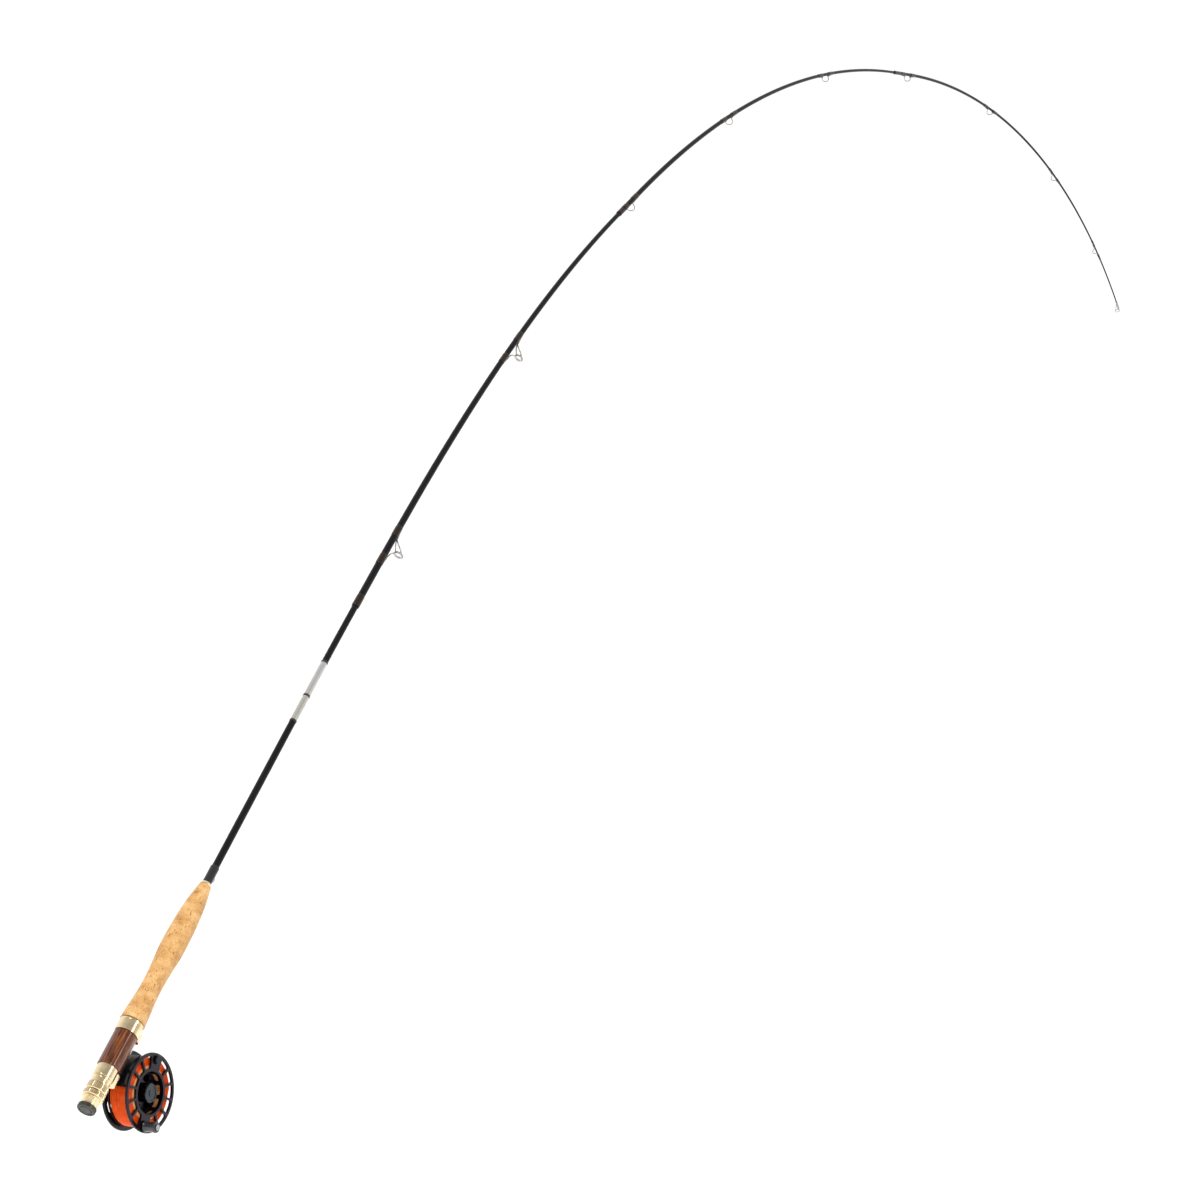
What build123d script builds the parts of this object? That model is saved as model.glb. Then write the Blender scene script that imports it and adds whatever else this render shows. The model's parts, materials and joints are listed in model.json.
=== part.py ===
from build123d import *
from math import cos, sin, radians
import os

# A nine foot, four piece fly rod bent under load, with its fly reel. Millimetres.
# The origin is the centre of the butt cap's end face. +X is the casting direction,
# +Z is up, and the rod bends in the XZ plane. The reel hangs below the handle, with
# its spindle along Y and its winding handle on the -Y side.

# ---------------------------------------------------------------- driving dimensions
rod_length = 2743.0
butt_elevation = 45.3          # degrees that the straight handle points above level
ferrule_overlaps = [60.0, 50.0, 40.0]
section_length = (rod_length + sum(ferrule_overlaps)) / 4
bend_start = 450.0             # the rod is straight up to here
bend_turn = 97.5               # degrees that it has turned down by its tip
bend_power = 1.87              # it turns faster towards the slender end

blank_wall = 0.65
span_length = 118.0            # a bent tube is made of nearly straight spans about this long
span_joint = 0.03              # the hairline between two spans
ferrule_play = 0.03
wrap_play = 0.03               # keeps the straight bore of a wrapping clear of the bent blank
foot_lift = 0.13               # a guide's foot lies this far off the blank, inside its wrapping
tube_radii = {                 # outside radius at the lower and the upper end
    "butt": (4.30, 3.30),
    "second": (3.98, 2.45),
    "third": (3.02, 1.48),
    "tip": (2.02, 0.80),
}

thread_radius = 8.7
thread_pitch = 1.5
thread_depth = 0.55
nut_bore = 8.78
seat_core_radius = 6.2
cap_radius = 9.8
cap_length = 5.0
ring_start = 14.6
ring_length = 6.0
nut_start = 21.6
nut_knurl_length = 9.6
nut_end = 37.9
hood_start = 38.2
hood_end = 51.4
spacer_start = 51.9
spacer_end = 93.2
spacer_radius = 12.3
fixed_hood_end = 108.3
foot_seat = 10.4               # distance of the reel foot's flat from the rod's axis
foot_start = 42.5
foot_end = 98.0
foot_width = 12.6
grip_start = 108.8
cork_ring_length = 12.5
cork_ring_count = 14
glue_line = 0.06
check_length = 3.4

reel_along = 66.2              # the reel's spindle, measured along the rod's axis
reel_below = 55.9              # and square to it, towards the reel
rim_radius = 40.1
reel_half_width = 15.5
flange_thickness = 2.5
arbor_radius = 23.0
arbor_wall = 1.5
rear_flange_radius = 36.1
line_radius = 35.0
backing_radius = 27.0
port_positions = 14
handle_angle = 252.0           # where the winding handle stands, from +X towards +Z
handle_circle = 33.4
spindle_radius = 3.0
cap_hub_radius = 9.75

stripping_guides = [752.0, 1067.0]
second_turn = 20.0              # degrees that the second section is turned in its ferrule
third_guides = [1364.0, 1608.0, 1846.0]
tip_guides = [2055.0, 2281.0, 2482.0, 2639.0]

grip_end = grip_start + cork_ring_count * cork_ring_length
section_starts = [0.0]
for overlap in ferrule_overlaps:
    section_starts.append(section_starts[-1] + section_length - overlap)
straight_zones = [
    (start, start + overlap)
    for start, overlap in zip(section_starts[1:], ferrule_overlaps)
]

os.makedirs("parts", exist_ok=True)


# ---------------------------------------------------------------- the rod's curve
def flexed_length(s):
    """Length of rod between the bend's start and s that is free to bend."""
    length = max(0.0, s - bend_start)
    for low, high in straight_zones:
        length -= min(max(s - low, 0.0), high - low)
    return length


def heading(s):
    """The rod's direction at s, in degrees above level."""
    share = flexed_length(s) / flexed_length(rod_length)
    return butt_elevation - bend_turn * share**bend_power


curve_step = 1.0
curve_points = [(0.0, 0.0)]
for number in range(int(rod_length / curve_step) + 20):
    angle = radians(heading(min((number + 0.5) * curve_step, rod_length)))
    last_x, last_z = curve_points[-1]
    curve_points.append((last_x + curve_step * cos(angle), last_z + curve_step * sin(angle)))


def rod_plane(s):
    """The rod's cross-section at s: x towards the reel's side, y across, z up the rod."""
    number = int(s / curve_step)
    share = s / curve_step - number
    (x0, z0), (x1, z1) = curve_points[number], curve_points[number + 1]
    centre = (x0 + share * (x1 - x0), 0, z0 + share * (z1 - z0))
    angle = radians(heading(min(s, rod_length)))
    return Plane(
        origin=centre,
        x_dir=(sin(angle), 0, -cos(angle)),
        z_dir=(cos(angle), 0, sin(angle)),
    )


along = rod_plane(0).z_dir
reelward = rod_plane(0).x_dir
handle_plane = Plane(origin=(0, 0, 0), x_dir=along, z_dir=(0, 1, 0))
rod_axis = Axis((0, 0, 0), along)
reel_centre = along * reel_along + reelward * reel_below
reel_axis = Axis(reel_centre, (0, 1, 0))
reel_profile = Plane(origin=reel_centre, x_dir=along, z_dir=reelward * -1)


def reel_face(y):
    """A plane across the reel's spindle at y, seen from the handle's side."""
    return Plane(origin=reel_centre + Vector(0, y, 0), x_dir=(1, 0, 0), z_dir=(0, -1, 0))


# ---------------------------------------------------------------- shared operations
def turn_on_rod(*outline, mode=Mode.ADD):
    """Revolve an outline of (distance up the rod, radius) about the handle's axis."""
    with BuildSketch(handle_plane) as profile:
        with BuildLine():
            Polyline(*outline, close=True)
        make_face()
    revolve(profile.sketch, axis=rod_axis, mode=mode)


def turn_on_reel(*outline, mode=Mode.ADD):
    """Revolve an outline of (radius, y) about the reel's spindle."""
    with BuildSketch(reel_profile) as profile:
        with BuildLine():
            Polyline(*outline, close=True)
        make_face()
    revolve(profile.sketch, axis=reel_axis, mode=mode)


def sleeve_on_rod(start, end, inner, outer, mode=Mode.ADD):
    """A plain tube on the handle's axis."""
    turn_on_rod((start, inner), (end, inner), (end, outer), (start, outer), mode=mode)


def disc_on_reel(low, high, inner, outer, mode=Mode.ADD):
    """A plain ring on the reel's spindle, from y = low to y = high."""
    turn_on_reel((inner, low), (outer, low), (outer, high), (inner, high), mode=mode)


def bar(start, end, radius, mode=Mode.ADD):
    """A round bar between two points."""
    direction = end - start
    with BuildSketch(Plane(origin=start, z_dir=direction)) as section:
        Circle(radius)
    extrude(section.sketch, amount=direction.length, mode=mode)


def rod_point(s, x, y=0.0, z=0.0):
    """A point beside the rod: x towards the reel's side, y across, z on up the rod."""
    return rod_plane(s).from_local_coords(Vector(x, y, z))


def cone_on_blank(start, end, start_radius, end_radius, mode=Mode.ADD):
    """A straight cone about the rod's curve, square to it at both ends."""
    with BuildSketch(rod_plane(start)) as low:
        Circle(start_radius)
    with BuildSketch(rod_plane(end)) as high:
        Circle(end_radius)
    loft([low.sketch, high.sketch], ruled=True, mode=mode)


def bent_cone(start, end, start_radius, end_radius, mode=Mode.ADD):
    """A cone that follows the bent rod, lofted through evenly spaced circles."""
    spans = max(3, round((end - start) / 62))
    sections = []
    for number in range(spans + 1):
        share = number / spans
        with BuildSketch(rod_plane(start + share * (end - start))) as section:
            Circle(start_radius + share * (end_radius - start_radius))
        sections.append(section.sketch)
    loft(sections, mode=mode)


def cut_into_spans(start, end, radius_of):
    """Part a thick bent tube at hairline joints, so that each of its solids is nearly straight."""
    count = round((end - start) / span_length)
    for number in range(1, count):
        place = start + number * (end - start) / count
        radius = radius_of(place) + 1
        cone_on_blank(place, place + span_joint, radius, radius, mode=Mode.SUBTRACT)


def wrap_on_blank(start, end, radius_of, thickness):
    """A thread wrapping under clear finish: a thin sleeve that tapers at both ends."""
    lip = 1.2
    inner_low, inner_high = radius_of(start), radius_of(end)
    cone_on_blank(start, start + lip, inner_low + 0.15, inner_low + thickness)
    cone_on_blank(start + lip, end - lip, inner_low + thickness, inner_high + thickness)
    cone_on_blank(end - lip, end, inner_high + thickness, inner_high + 0.15)
    cone_on_blank(start - 1, end + 1, radius_of(start - 1) + wrap_play, radius_of(end + 1) + wrap_play,
                  mode=Mode.SUBTRACT)


def radius_along(section, number):
    """The outside radius of one section as a function of the distance up the rod."""
    start = section_starts[number]
    low, high = tube_radii[section]
    return lambda s: low + (high - low) * (s - start) / section_length


butt_radius = radius_along("butt", 0)
second_radius = radius_along("second", 1)
third_radius = radius_along("third", 2)
tip_radius = radius_along("tip", 3)


# ---------------------------------------------------------------- reel seat
with BuildPart() as butt_cap:
    turn_on_rod(
        (0, 0), (0, cap_radius - 0.8), (0.8, cap_radius), (cap_length - 0.5, cap_radius),
        (cap_length, cap_radius - 0.5), (cap_length, seat_core_radius - 0.05),
        (cap_length + 4, seat_core_radius - 0.05), (cap_length + 4, 0),
    )
    turn_on_rod((0, 6.0), (0.6, 6.2), (0.6, 6.8), (0, 7.0), mode=Mode.SUBTRACT)
butt_cap.part.label = "butt_cap"
export_step(butt_cap.part, "parts/butt_cap.step")

with BuildPart() as seat_barrel:
    sleeve_on_rod(cap_length, spacer_start, seat_core_radius, thread_radius)
    groove_count = int((hood_end - cap_length - 4) / thread_pitch)
    for number in range(groove_count):
        groove = cap_length + 2 + number * thread_pitch
        turn_on_rod(
            (groove - 0.45 * thread_pitch, thread_radius + 0.1),
            (groove, thread_radius - thread_depth),
            (groove + 0.45 * thread_pitch, thread_radius + 0.1),
            mode=Mode.SUBTRACT,
        )
seat_barrel.part.label = "seat_barrel"
export_step(seat_barrel.part, "parts/seat_barrel.step")

with BuildPart() as seat_arbor:
    sleeve_on_rod(cap_length + 4.2, fixed_hood_end, 4.32, seat_core_radius)
seat_arbor.part.label = "seat_arbor"
export_step(seat_arbor.part, "parts/seat_arbor.step")


def knurl(start, end, radius, count):
    """Cut straight knurling into a collar on the handle's axis."""
    with BuildSketch(Plane(origin=along * start, x_dir=reelward, z_dir=along)) as teeth:
        with PolarLocations(radius, count):
            Rectangle(1.1, 1.1, rotation=45)
    extrude(teeth.sketch, amount=end - start, mode=Mode.SUBTRACT)


with BuildPart() as lock_ring:
    turn_on_rod(
        (ring_start, nut_bore), (ring_start, 10.7), (ring_start + 0.6, 11.3),
        (ring_start + ring_length - 0.6, 11.3), (ring_start + ring_length, 10.7),
        (ring_start + ring_length, nut_bore),
    )
    knurl(ring_start + 1.2, ring_start + ring_length - 1.2, 11.4, 32)
lock_ring.part.label = "lock_ring"
export_step(lock_ring.part, "parts/lock_ring.step")

with BuildPart() as lock_nut:
    knurl_end = nut_start + nut_knurl_length
    turn_on_rod(
        (nut_start, nut_bore), (nut_start, 10.4), (nut_start + 0.6, 11.0),
        (knurl_end - 0.6, 11.0), (knurl_end, 10.4), (knurl_end + 0.5, 9.8),
        (nut_end - 2.0, 9.8), (nut_end - 1.6, 10.5), (nut_end, 10.5), (nut_end, nut_bore),
    )
    knurl(nut_start + 1.4, knurl_end - 1.4, 11.1, 32)
lock_nut.part.label = "lock_nut"
export_step(lock_nut.part, "parts/lock_nut.step")


def hood_block(start, end, ring_radius, crown):
    """A ring with a raised crown on the reel's side, which covers the foot's end."""
    with BuildSketch(Plane(origin=along * start, x_dir=reelward, z_dir=along)) as section:
        Circle(ring_radius)
        with Locations((crown / 2, 0)):
            RectangleRounded(crown, 17.6, 3.2)
    extrude(section.sketch, amount=end - start)


def foot_pocket(start, end, low, high):
    """The slot under a hood's crown, wide enough for the foot's end."""
    with BuildSketch(Plane(origin=along * start, x_dir=reelward, z_dir=along)) as slot:
        with Locations(((low + high) / 2, 0)):
            Rectangle(high - low, foot_width + 0.7)
    extrude(slot.sketch, amount=end - start, mode=Mode.SUBTRACT)


with BuildPart() as sliding_hood:
    hood_block(hood_start, hood_end, 11.0, 14.6)
    rear_edges = sliding_hood.edges().group_by(rod_axis)[0]
    fillet(rear_edges, 0.8)
    sleeve_on_rod(hood_start - 1, hood_end + 1, 0, nut_bore, mode=Mode.SUBTRACT)
    foot_pocket(foot_start - 2.0, hood_end + 1, foot_seat - 0.4, 12.9)
sliding_hood.part.label = "sliding_hood"
export_step(sliding_hood.part, "parts/sliding_hood.step")

with BuildPart() as wood_spacer:
    turn_on_rod(
        (spacer_start, seat_core_radius), (spacer_start, spacer_radius - 1.0),
        (spacer_start + 0.9, spacer_radius - 0.1), (spacer_start + 3, spacer_radius),
        (spacer_end - 0.2, spacer_radius), (spacer_end, spacer_radius - 0.2),
        (spacer_end, seat_core_radius),
    )
    with BuildSketch(handle_plane) as seat_flat:
        with Locations(((spacer_start + spacer_end) / 2, foot_seat + 5)):
            Rectangle(spacer_end - spacer_start + 4, 10)
    extrude(seat_flat.sketch, amount=14, both=True, mode=Mode.SUBTRACT)
wood_spacer.part.label = "wood_spacer"
export_step(wood_spacer.part, "parts/wood_spacer.step")

with BuildPart() as fixed_hood:
    hood_block(spacer_end + 0.4, spacer_end + 10.4, 12.9, 14.9)
    front_edges = fixed_hood.edges().group_by(rod_axis)[-1]
    fillet(front_edges, 1.0)
    turn_on_rod(
        (spacer_end + 9, 0), (spacer_end + 9, 12.9), (fixed_hood_end - 2.6, 12.9),
        (fixed_hood_end - 2.2, 12.3), (fixed_hood_end - 1.8, 12.9),
        (fixed_hood_end - 0.5, 12.9), (fixed_hood_end, 12.5), (fixed_hood_end, 0),
    )
    sleeve_on_rod(spacer_end, fixed_hood_end + 1, 0, seat_core_radius, mode=Mode.SUBTRACT)
    foot_pocket(spacer_end, foot_end + 0.6, foot_seat - 0.1, 12.9)
fixed_hood.part.label = "fixed_hood"
export_step(fixed_hood.part, "parts/fixed_hood.step")

# ---------------------------------------------------------------- grip
# A full wells grip: swollen at the seat, waisted for the palm, swollen under the thumb.
with BuildPart() as cork_grip:
    for number in range(cork_ring_count):
        ring_low = grip_start + number * cork_ring_length
        with BuildSketch(handle_plane) as ring_profile:
            with BuildLine():
                Spline(
                    (grip_start, 13.3), (122, 12.5), (140, 11.1), (158, 10.5), (178, 11.2),
                    (197, 12.6), (212, 12.8), (232, 12.2), (250, 11.1), (268, 9.1),
                    (grip_end, 6.3),
                )
                Line((grip_end, 6.3), (grip_end, 4.4))
                Line((grip_end, 4.4), (grip_start, 4.4))
                Line((grip_start, 4.4), (grip_start, 13.3))
            make_face()
            with Locations((ring_low + cork_ring_length / 2, 8)):
                Rectangle(cork_ring_length - glue_line, 20, mode=Mode.INTERSECT)
        revolve(ring_profile.sketch, axis=rod_axis)
cork_grip.part.label = "cork_grip"
export_step(cork_grip.part, "parts/cork_grip.step")

with BuildPart() as winding_check:
    check_start = grip_end + 0.1
    turn_on_rod(
        (check_start, 4.02), (check_start, 6.2), (check_start + 0.6, 6.5),
        (check_start + 1.4, 6.2), (check_start + 2.2, 5.4), (check_start + check_length, 5.1),
        (check_start + check_length, 4.02),
    )
winding_check.part.label = "winding_check"
export_step(winding_check.part, "parts/winding_check.step")

# ---------------------------------------------------------------- butt section
male_start = section_starts[1]
with BuildPart() as blank_butt:
    cone_on_blank(cap_length + 4.3, bend_start, butt_radius(cap_length + 4.3), butt_radius(bend_start))
    bent_cone(bend_start, male_start, butt_radius(bend_start), butt_radius(male_start))
    cone_on_blank(male_start, section_length, butt_radius(male_start), butt_radius(section_length))
    bore_low = butt_radius(cap_length + 4.3) - blank_wall
    bore_bend = butt_radius(bend_start) - blank_wall
    bore_male = butt_radius(male_start) - blank_wall
    bore_high = butt_radius(section_length) - blank_wall
    cone_on_blank(cap_length + 4.3, bend_start, bore_low, bore_bend, mode=Mode.SUBTRACT)
    bent_cone(bend_start, male_start, bore_bend, bore_male, mode=Mode.SUBTRACT)
    cone_on_blank(male_start, section_length, bore_male, bore_high, mode=Mode.SUBTRACT)
    cut_into_spans(bend_start - span_length, section_length, butt_radius)
blank_butt.part.label = "blank_butt"
export_step(blank_butt.part, "parts/blank_butt.step")

keeper_at = grip_end + 13.5
keeper_foot = 4.1
with BuildPart() as hook_keeper:
    with BuildLine():
        FilletPolyline(
            rod_point(keeper_at - 7, keeper_foot + 0.4),
            rod_point(keeper_at - 2.6, keeper_foot + 0.4),
            rod_point(keeper_at - 2.2, keeper_foot + 4.0),
            rod_point(keeper_at + 2.2, keeper_foot + 4.0),
            rod_point(keeper_at + 2.6, keeper_foot + 0.4),
            rod_point(keeper_at + 7, keeper_foot + 0.4),
            radius=0.9,
        )
    with BuildSketch(Plane(origin=rod_point(keeper_at - 7, keeper_foot + 0.4), z_dir=along)):
        Circle(0.4)
    sweep()
hook_keeper.part.label = "hook_keeper"
export_step(hook_keeper.part, "parts/hook_keeper.step")

with BuildPart() as keeper_wrap:
    wrap_start = grip_end + check_length + 0.3
    wrap_on_blank(wrap_start, wrap_start + 21.5, butt_radius, 1.25)
    add(hook_keeper.part, mode=Mode.SUBTRACT)
keeper_wrap.part.label = "keeper_wrap"
export_step(keeper_wrap.part, "parts/keeper_wrap.step")

# The plain metallic band above the handle, with its three dark trim rings.
band_start = 505.0
band_end = 583.0
trim_places = [band_start - 2.6, 536.5, band_end]
trim_width = 2.6
with BuildPart() as label_band:
    for low, high in [(band_start, 536.4), (536.5 + trim_width + 0.1, band_end - 0.1)]:
        bent_cone(low, high, butt_radius(low) + 0.16, butt_radius(high) + 0.16)
        bent_cone(low, high, butt_radius(low) + 0.01, butt_radius(high) + 0.01, mode=Mode.SUBTRACT)
label_band.part.label = "label_band"
export_step(label_band.part, "parts/label_band.step")

with BuildPart() as band_trims:
    for low in trim_places:
        high = low + trim_width
        cone_on_blank(low, high, butt_radius(low) + 0.38, butt_radius(high) + 0.38)
        cone_on_blank(low - 0.1, high + 0.1, butt_radius(low) + 0.01, butt_radius(high) + 0.01,
                      mode=Mode.SUBTRACT)
band_trims.part.label = "band_trims"
export_step(band_trims.part, "parts/band_trims.step")


# ---------------------------------------------------------------- upper sections
def blank_section(number, radius_of, male_radius_of, end):
    """One section: a straight female end, a bent tube and a straight male end."""
    female_start = section_starts[number]
    female_end = female_start + ferrule_overlaps[number - 1]
    has_male_end = number < 3
    bend_end = section_starts[number + 1] if has_male_end else end
    cone_on_blank(female_start, female_end, radius_of(female_start), radius_of(female_end))
    bent_cone(female_end, bend_end, radius_of(female_end), radius_of(bend_end))
    if has_male_end:
        cone_on_blank(bend_end, end, radius_of(bend_end), radius_of(end))
    wall = blank_wall if has_male_end else 0.5
    socket_low = male_radius_of(female_start) + ferrule_play
    socket_high = male_radius_of(female_end) + ferrule_play
    cone_on_blank(female_start, female_end, socket_low, socket_high, mode=Mode.SUBTRACT)
    bent_cone(female_end, bend_end, radius_of(female_end) - wall, radius_of(bend_end) - wall,
              mode=Mode.SUBTRACT)
    if has_male_end:
        cone_on_blank(bend_end, end, radius_of(bend_end) - wall, radius_of(end) - wall,
                      mode=Mode.SUBTRACT)


with BuildPart() as blank_second:
    blank_section(1, second_radius, butt_radius, section_starts[1] + section_length)
    cut_into_spans(section_starts[1], section_starts[1] + section_length, second_radius)
blank_second.part.label = "blank_second"
export_step(blank_second.part, "parts/blank_second.step")

with BuildPart() as blank_third:
    blank_section(2, third_radius, second_radius, section_starts[2] + section_length)
blank_third.part.label = "blank_third"
export_step(blank_third.part, "parts/blank_third.step")

with BuildPart() as blank_tip:
    blank_section(3, tip_radius, third_radius, rod_length)
blank_tip.part.label = "blank_tip"
export_step(blank_tip.part, "parts/blank_tip.step")


# ---------------------------------------------------------------- guides
stripping_wire = 0.75
stripping_foot = 11.0


def guide_plane(s):
    """The cross-section at s, turned about the rod with the second section."""
    plane = rod_plane(s)
    turn = radians(second_turn)
    return Plane(
        origin=plane.origin,
        x_dir=plane.x_dir * cos(turn) - plane.y_dir * sin(turn),
        z_dir=plane.z_dir,
    )


def guide_point(s, x, y=0.0):
    """A point beside the second section: x towards its guides' side, y across."""
    return guide_plane(s).from_local_coords(Vector(x, y, 0))


def stripping_frame(s, radius_of, ring_height, ring_radius, reach):
    """A double-foot guide: an upright ring on two legs at one end and one at the other."""
    wire = stripping_wire
    foot_gap = wire + foot_lift
    ring_plane = guide_plane(s)
    with BuildSketch(ring_plane.offset(-1.0)) as ring:
        with Locations((ring_height, 0)):
            Circle(ring_radius + 1.0)
            Circle(ring_radius, mode=Mode.SUBTRACT)
    extrude(ring.sketch, amount=2.0)
    for side in (-1, 1):
        bar(
            guide_point(s, ring_height - 0.55 * ring_radius, side * (0.84 * ring_radius + 0.4)),
            guide_point(s + reach, radius_of(s + reach) + foot_gap),
            wire,
        )
    bar(
        guide_point(s, ring_height - ring_radius - 0.5),
        guide_point(s - reach, radius_of(s - reach) + foot_gap),
        wire,
    )
    for side in (-1, 1):
        toe = s + side * (reach + stripping_foot)
        heel = s + side * reach
        foot_end = guide_point(toe, radius_of(toe) + foot_gap)
        bar(guide_point(heel, radius_of(heel) + foot_gap), foot_end, wire)
    with BuildSketch(ring_plane.offset(-3.0)) as bore:
        with Locations((ring_height, 0)):
            Circle(ring_radius)
    extrude(bore.sketch, amount=6.0, mode=Mode.SUBTRACT)


def stripping_insert(s, ring_height, ring_radius):
    """The smooth hard ring that the line runs through."""
    with BuildSketch(guide_plane(s).offset(-1.3)) as ring:
        with Locations((ring_height, 0)):
            Circle(ring_radius - 0.02)
            Circle(ring_radius - 0.9, mode=Mode.SUBTRACT)
    extrude(ring.sketch, amount=2.6)


stripping_sizes = [(15.2, 4.6, 13.0), (14.6, 4.0, 11.5)]   # ring height, ring radius, reach

with BuildPart() as stripping_guide_1:
    height, ring_size, reach = stripping_sizes[0]
    stripping_frame(stripping_guides[0], second_radius, height, ring_size, reach)
stripping_guide_1.part.label = "stripping_guide_1"
export_step(stripping_guide_1.part, "parts/stripping_guide_1.step")

with BuildPart() as stripping_guide_2:
    height, ring_size, reach = stripping_sizes[1]
    stripping_frame(stripping_guides[1], second_radius, height, ring_size, reach)
stripping_guide_2.part.label = "stripping_guide_2"
export_step(stripping_guide_2.part, "parts/stripping_guide_2.step")

with BuildPart() as guide_insert_1:
    stripping_insert(stripping_guides[0], stripping_sizes[0][0], stripping_sizes[0][1])
guide_insert_1.part.label = "guide_insert_1"
export_step(guide_insert_1.part, "parts/guide_insert_1.step")

with BuildPart() as guide_insert_2:
    stripping_insert(stripping_guides[1], stripping_sizes[1][0], stripping_sizes[1][1])
guide_insert_2.part.label = "guide_insert_2"
export_step(guide_insert_2.part, "parts/guide_insert_2.step")


snake_wire = 0.5
snake_reach = 6.0
snake_foot = 9.0


def snake_height(s):
    """Snake guides get smaller towards the tip."""
    return 6.6 - 1.8 * (s - third_guides[0]) / (tip_guides[-1] - third_guides[0])


def snake_guide(s, radius_of):
    """A bent wire: a foot, a loop over to one side, across the top and down the other."""
    lift = snake_wire + foot_lift
    height = snake_height(s)
    low, high = s - snake_reach, s + snake_reach
    side = 0.52 * height
    route = [
        rod_point(low - snake_foot, radius_of(low - snake_foot) + lift),
        rod_point(low, radius_of(low) + lift),
        rod_point(s - 2.6, radius_of(s) + lift + 0.42 * height, side),
        rod_point(s, radius_of(s) + lift + height, 0.35 * side),
        rod_point(s, radius_of(s) + lift + height, -0.35 * side),
        rod_point(s + 2.6, radius_of(s) + lift + 0.42 * height, -side),
        rod_point(high, radius_of(high) + lift),
        rod_point(high + snake_foot, radius_of(high + snake_foot) + lift),
    ]
    with BuildLine() as path:
        FilletPolyline(*route, radius=0.75)
    with BuildSketch(Plane(origin=route[0], z_dir=route[1] - route[0])) as wire:
        Circle(snake_wire)
    sweep(wire.sketch, path=path.wire())


with BuildPart() as snake_guides_third:
    for place in third_guides:
        snake_guide(place, third_radius)
snake_guides_third.part.label = "snake_guides_third"
export_step(snake_guides_third.part, "parts/snake_guides_third.step")

with BuildPart() as snake_guides_tip:
    for place in tip_guides:
        snake_guide(place, tip_radius)
snake_guides_tip.part.label = "snake_guides_tip"
export_step(snake_guides_tip.part, "parts/snake_guides_tip.step")

tip_ring_height = 4.3
tip_ring_radius = 2.5
with BuildPart() as tip_top:
    cone_on_blank(rod_length - 11, rod_length + 0.6, 1.35, 1.25)
    cone_on_blank(rod_length - 11.2, rod_length + 0.01, tip_radius(rod_length - 11.2) + 0.05,
                  tip_radius(rod_length) + 0.05, mode=Mode.SUBTRACT)
    with BuildSketch(rod_plane(rod_length).offset(-0.4)) as ring:
        with Locations((tip_ring_height, 0)):
            Circle(tip_ring_radius + 0.75)
            Circle(tip_ring_radius, mode=Mode.SUBTRACT)
    extrude(ring.sketch, amount=1.0)
    for side in (-1, 1):
        strut_foot = rod_point(rod_length - 8, 1.2, side * 0.75)
        bar(strut_foot, rod_point(rod_length, tip_ring_height, side * 2.8), 0.4)
tip_top.part.label = "tip_top"
export_step(tip_top.part, "parts/tip_top.step")


# ---------------------------------------------------------------- thread wrappings
def guide_wraps(s, radius_of, reach, foot, wire):
    """Wrappings over both feet of one guide."""
    for side in (-1, 1):
        heel = s + side * (reach + 0.8)
        toe = s + side * (reach + foot + 3)
        wrap_on_blank(min(heel, toe), max(heel, toe), radius_of, 2 * wire + 0.35)


def ferrule_wrap(number, radius_of):
    """The wrapping that stops a female end from splitting."""
    start = section_starts[number] + 0.6
    wrap_on_blank(start, start + 15, radius_of, 0.42)


def snake_wraps(number, places, radius_of, guides):
    """All the wrappings of one section that carries snake guides."""
    ferrule_wrap(number, radius_of)
    for place in places:
        guide_wraps(place, radius_of, snake_reach, snake_foot, snake_wire)
    add(guides, mode=Mode.SUBTRACT)


with BuildPart() as wraps_second:
    ferrule_wrap(1, second_radius)
    for place, (height, ring_size, reach) in zip(stripping_guides, stripping_sizes):
        guide_wraps(place, second_radius, reach, stripping_foot, stripping_wire)
    add(stripping_guide_1.part, mode=Mode.SUBTRACT)
    add(stripping_guide_2.part, mode=Mode.SUBTRACT)
wraps_second.part.label = "wraps_second"
export_step(wraps_second.part, "parts/wraps_second.step")

with BuildPart() as wraps_third:
    snake_wraps(2, third_guides, third_radius, snake_guides_third.part)
wraps_third.part.label = "wraps_third"
export_step(wraps_third.part, "parts/wraps_third.step")

with BuildPart() as wraps_tip:
    snake_wraps(3, tip_guides, tip_radius, snake_guides_tip.part)
wraps_tip.part.label = "wraps_tip"
export_step(wraps_tip.part, "parts/wraps_tip.step")

# ---------------------------------------------------------------- reel: foot and frame
plate_face = reel_half_width
plate_thickness = 3.2
bridge_inner = 36.6
bridge_front = -10.8
bridge_span = 58.0             # degrees of rim that the bridge to the foot covers
rod_side_angle = 90 + butt_elevation
housing_radius = 17.5
housing_bore = 14.5
housing_front = 2.0
housing_floor = 13.0
pin_circle = 7.0
pin_radius = 1.2
foot_screw_spread = 7.0
pedestal_top = foot_seat + 2.5

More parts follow.
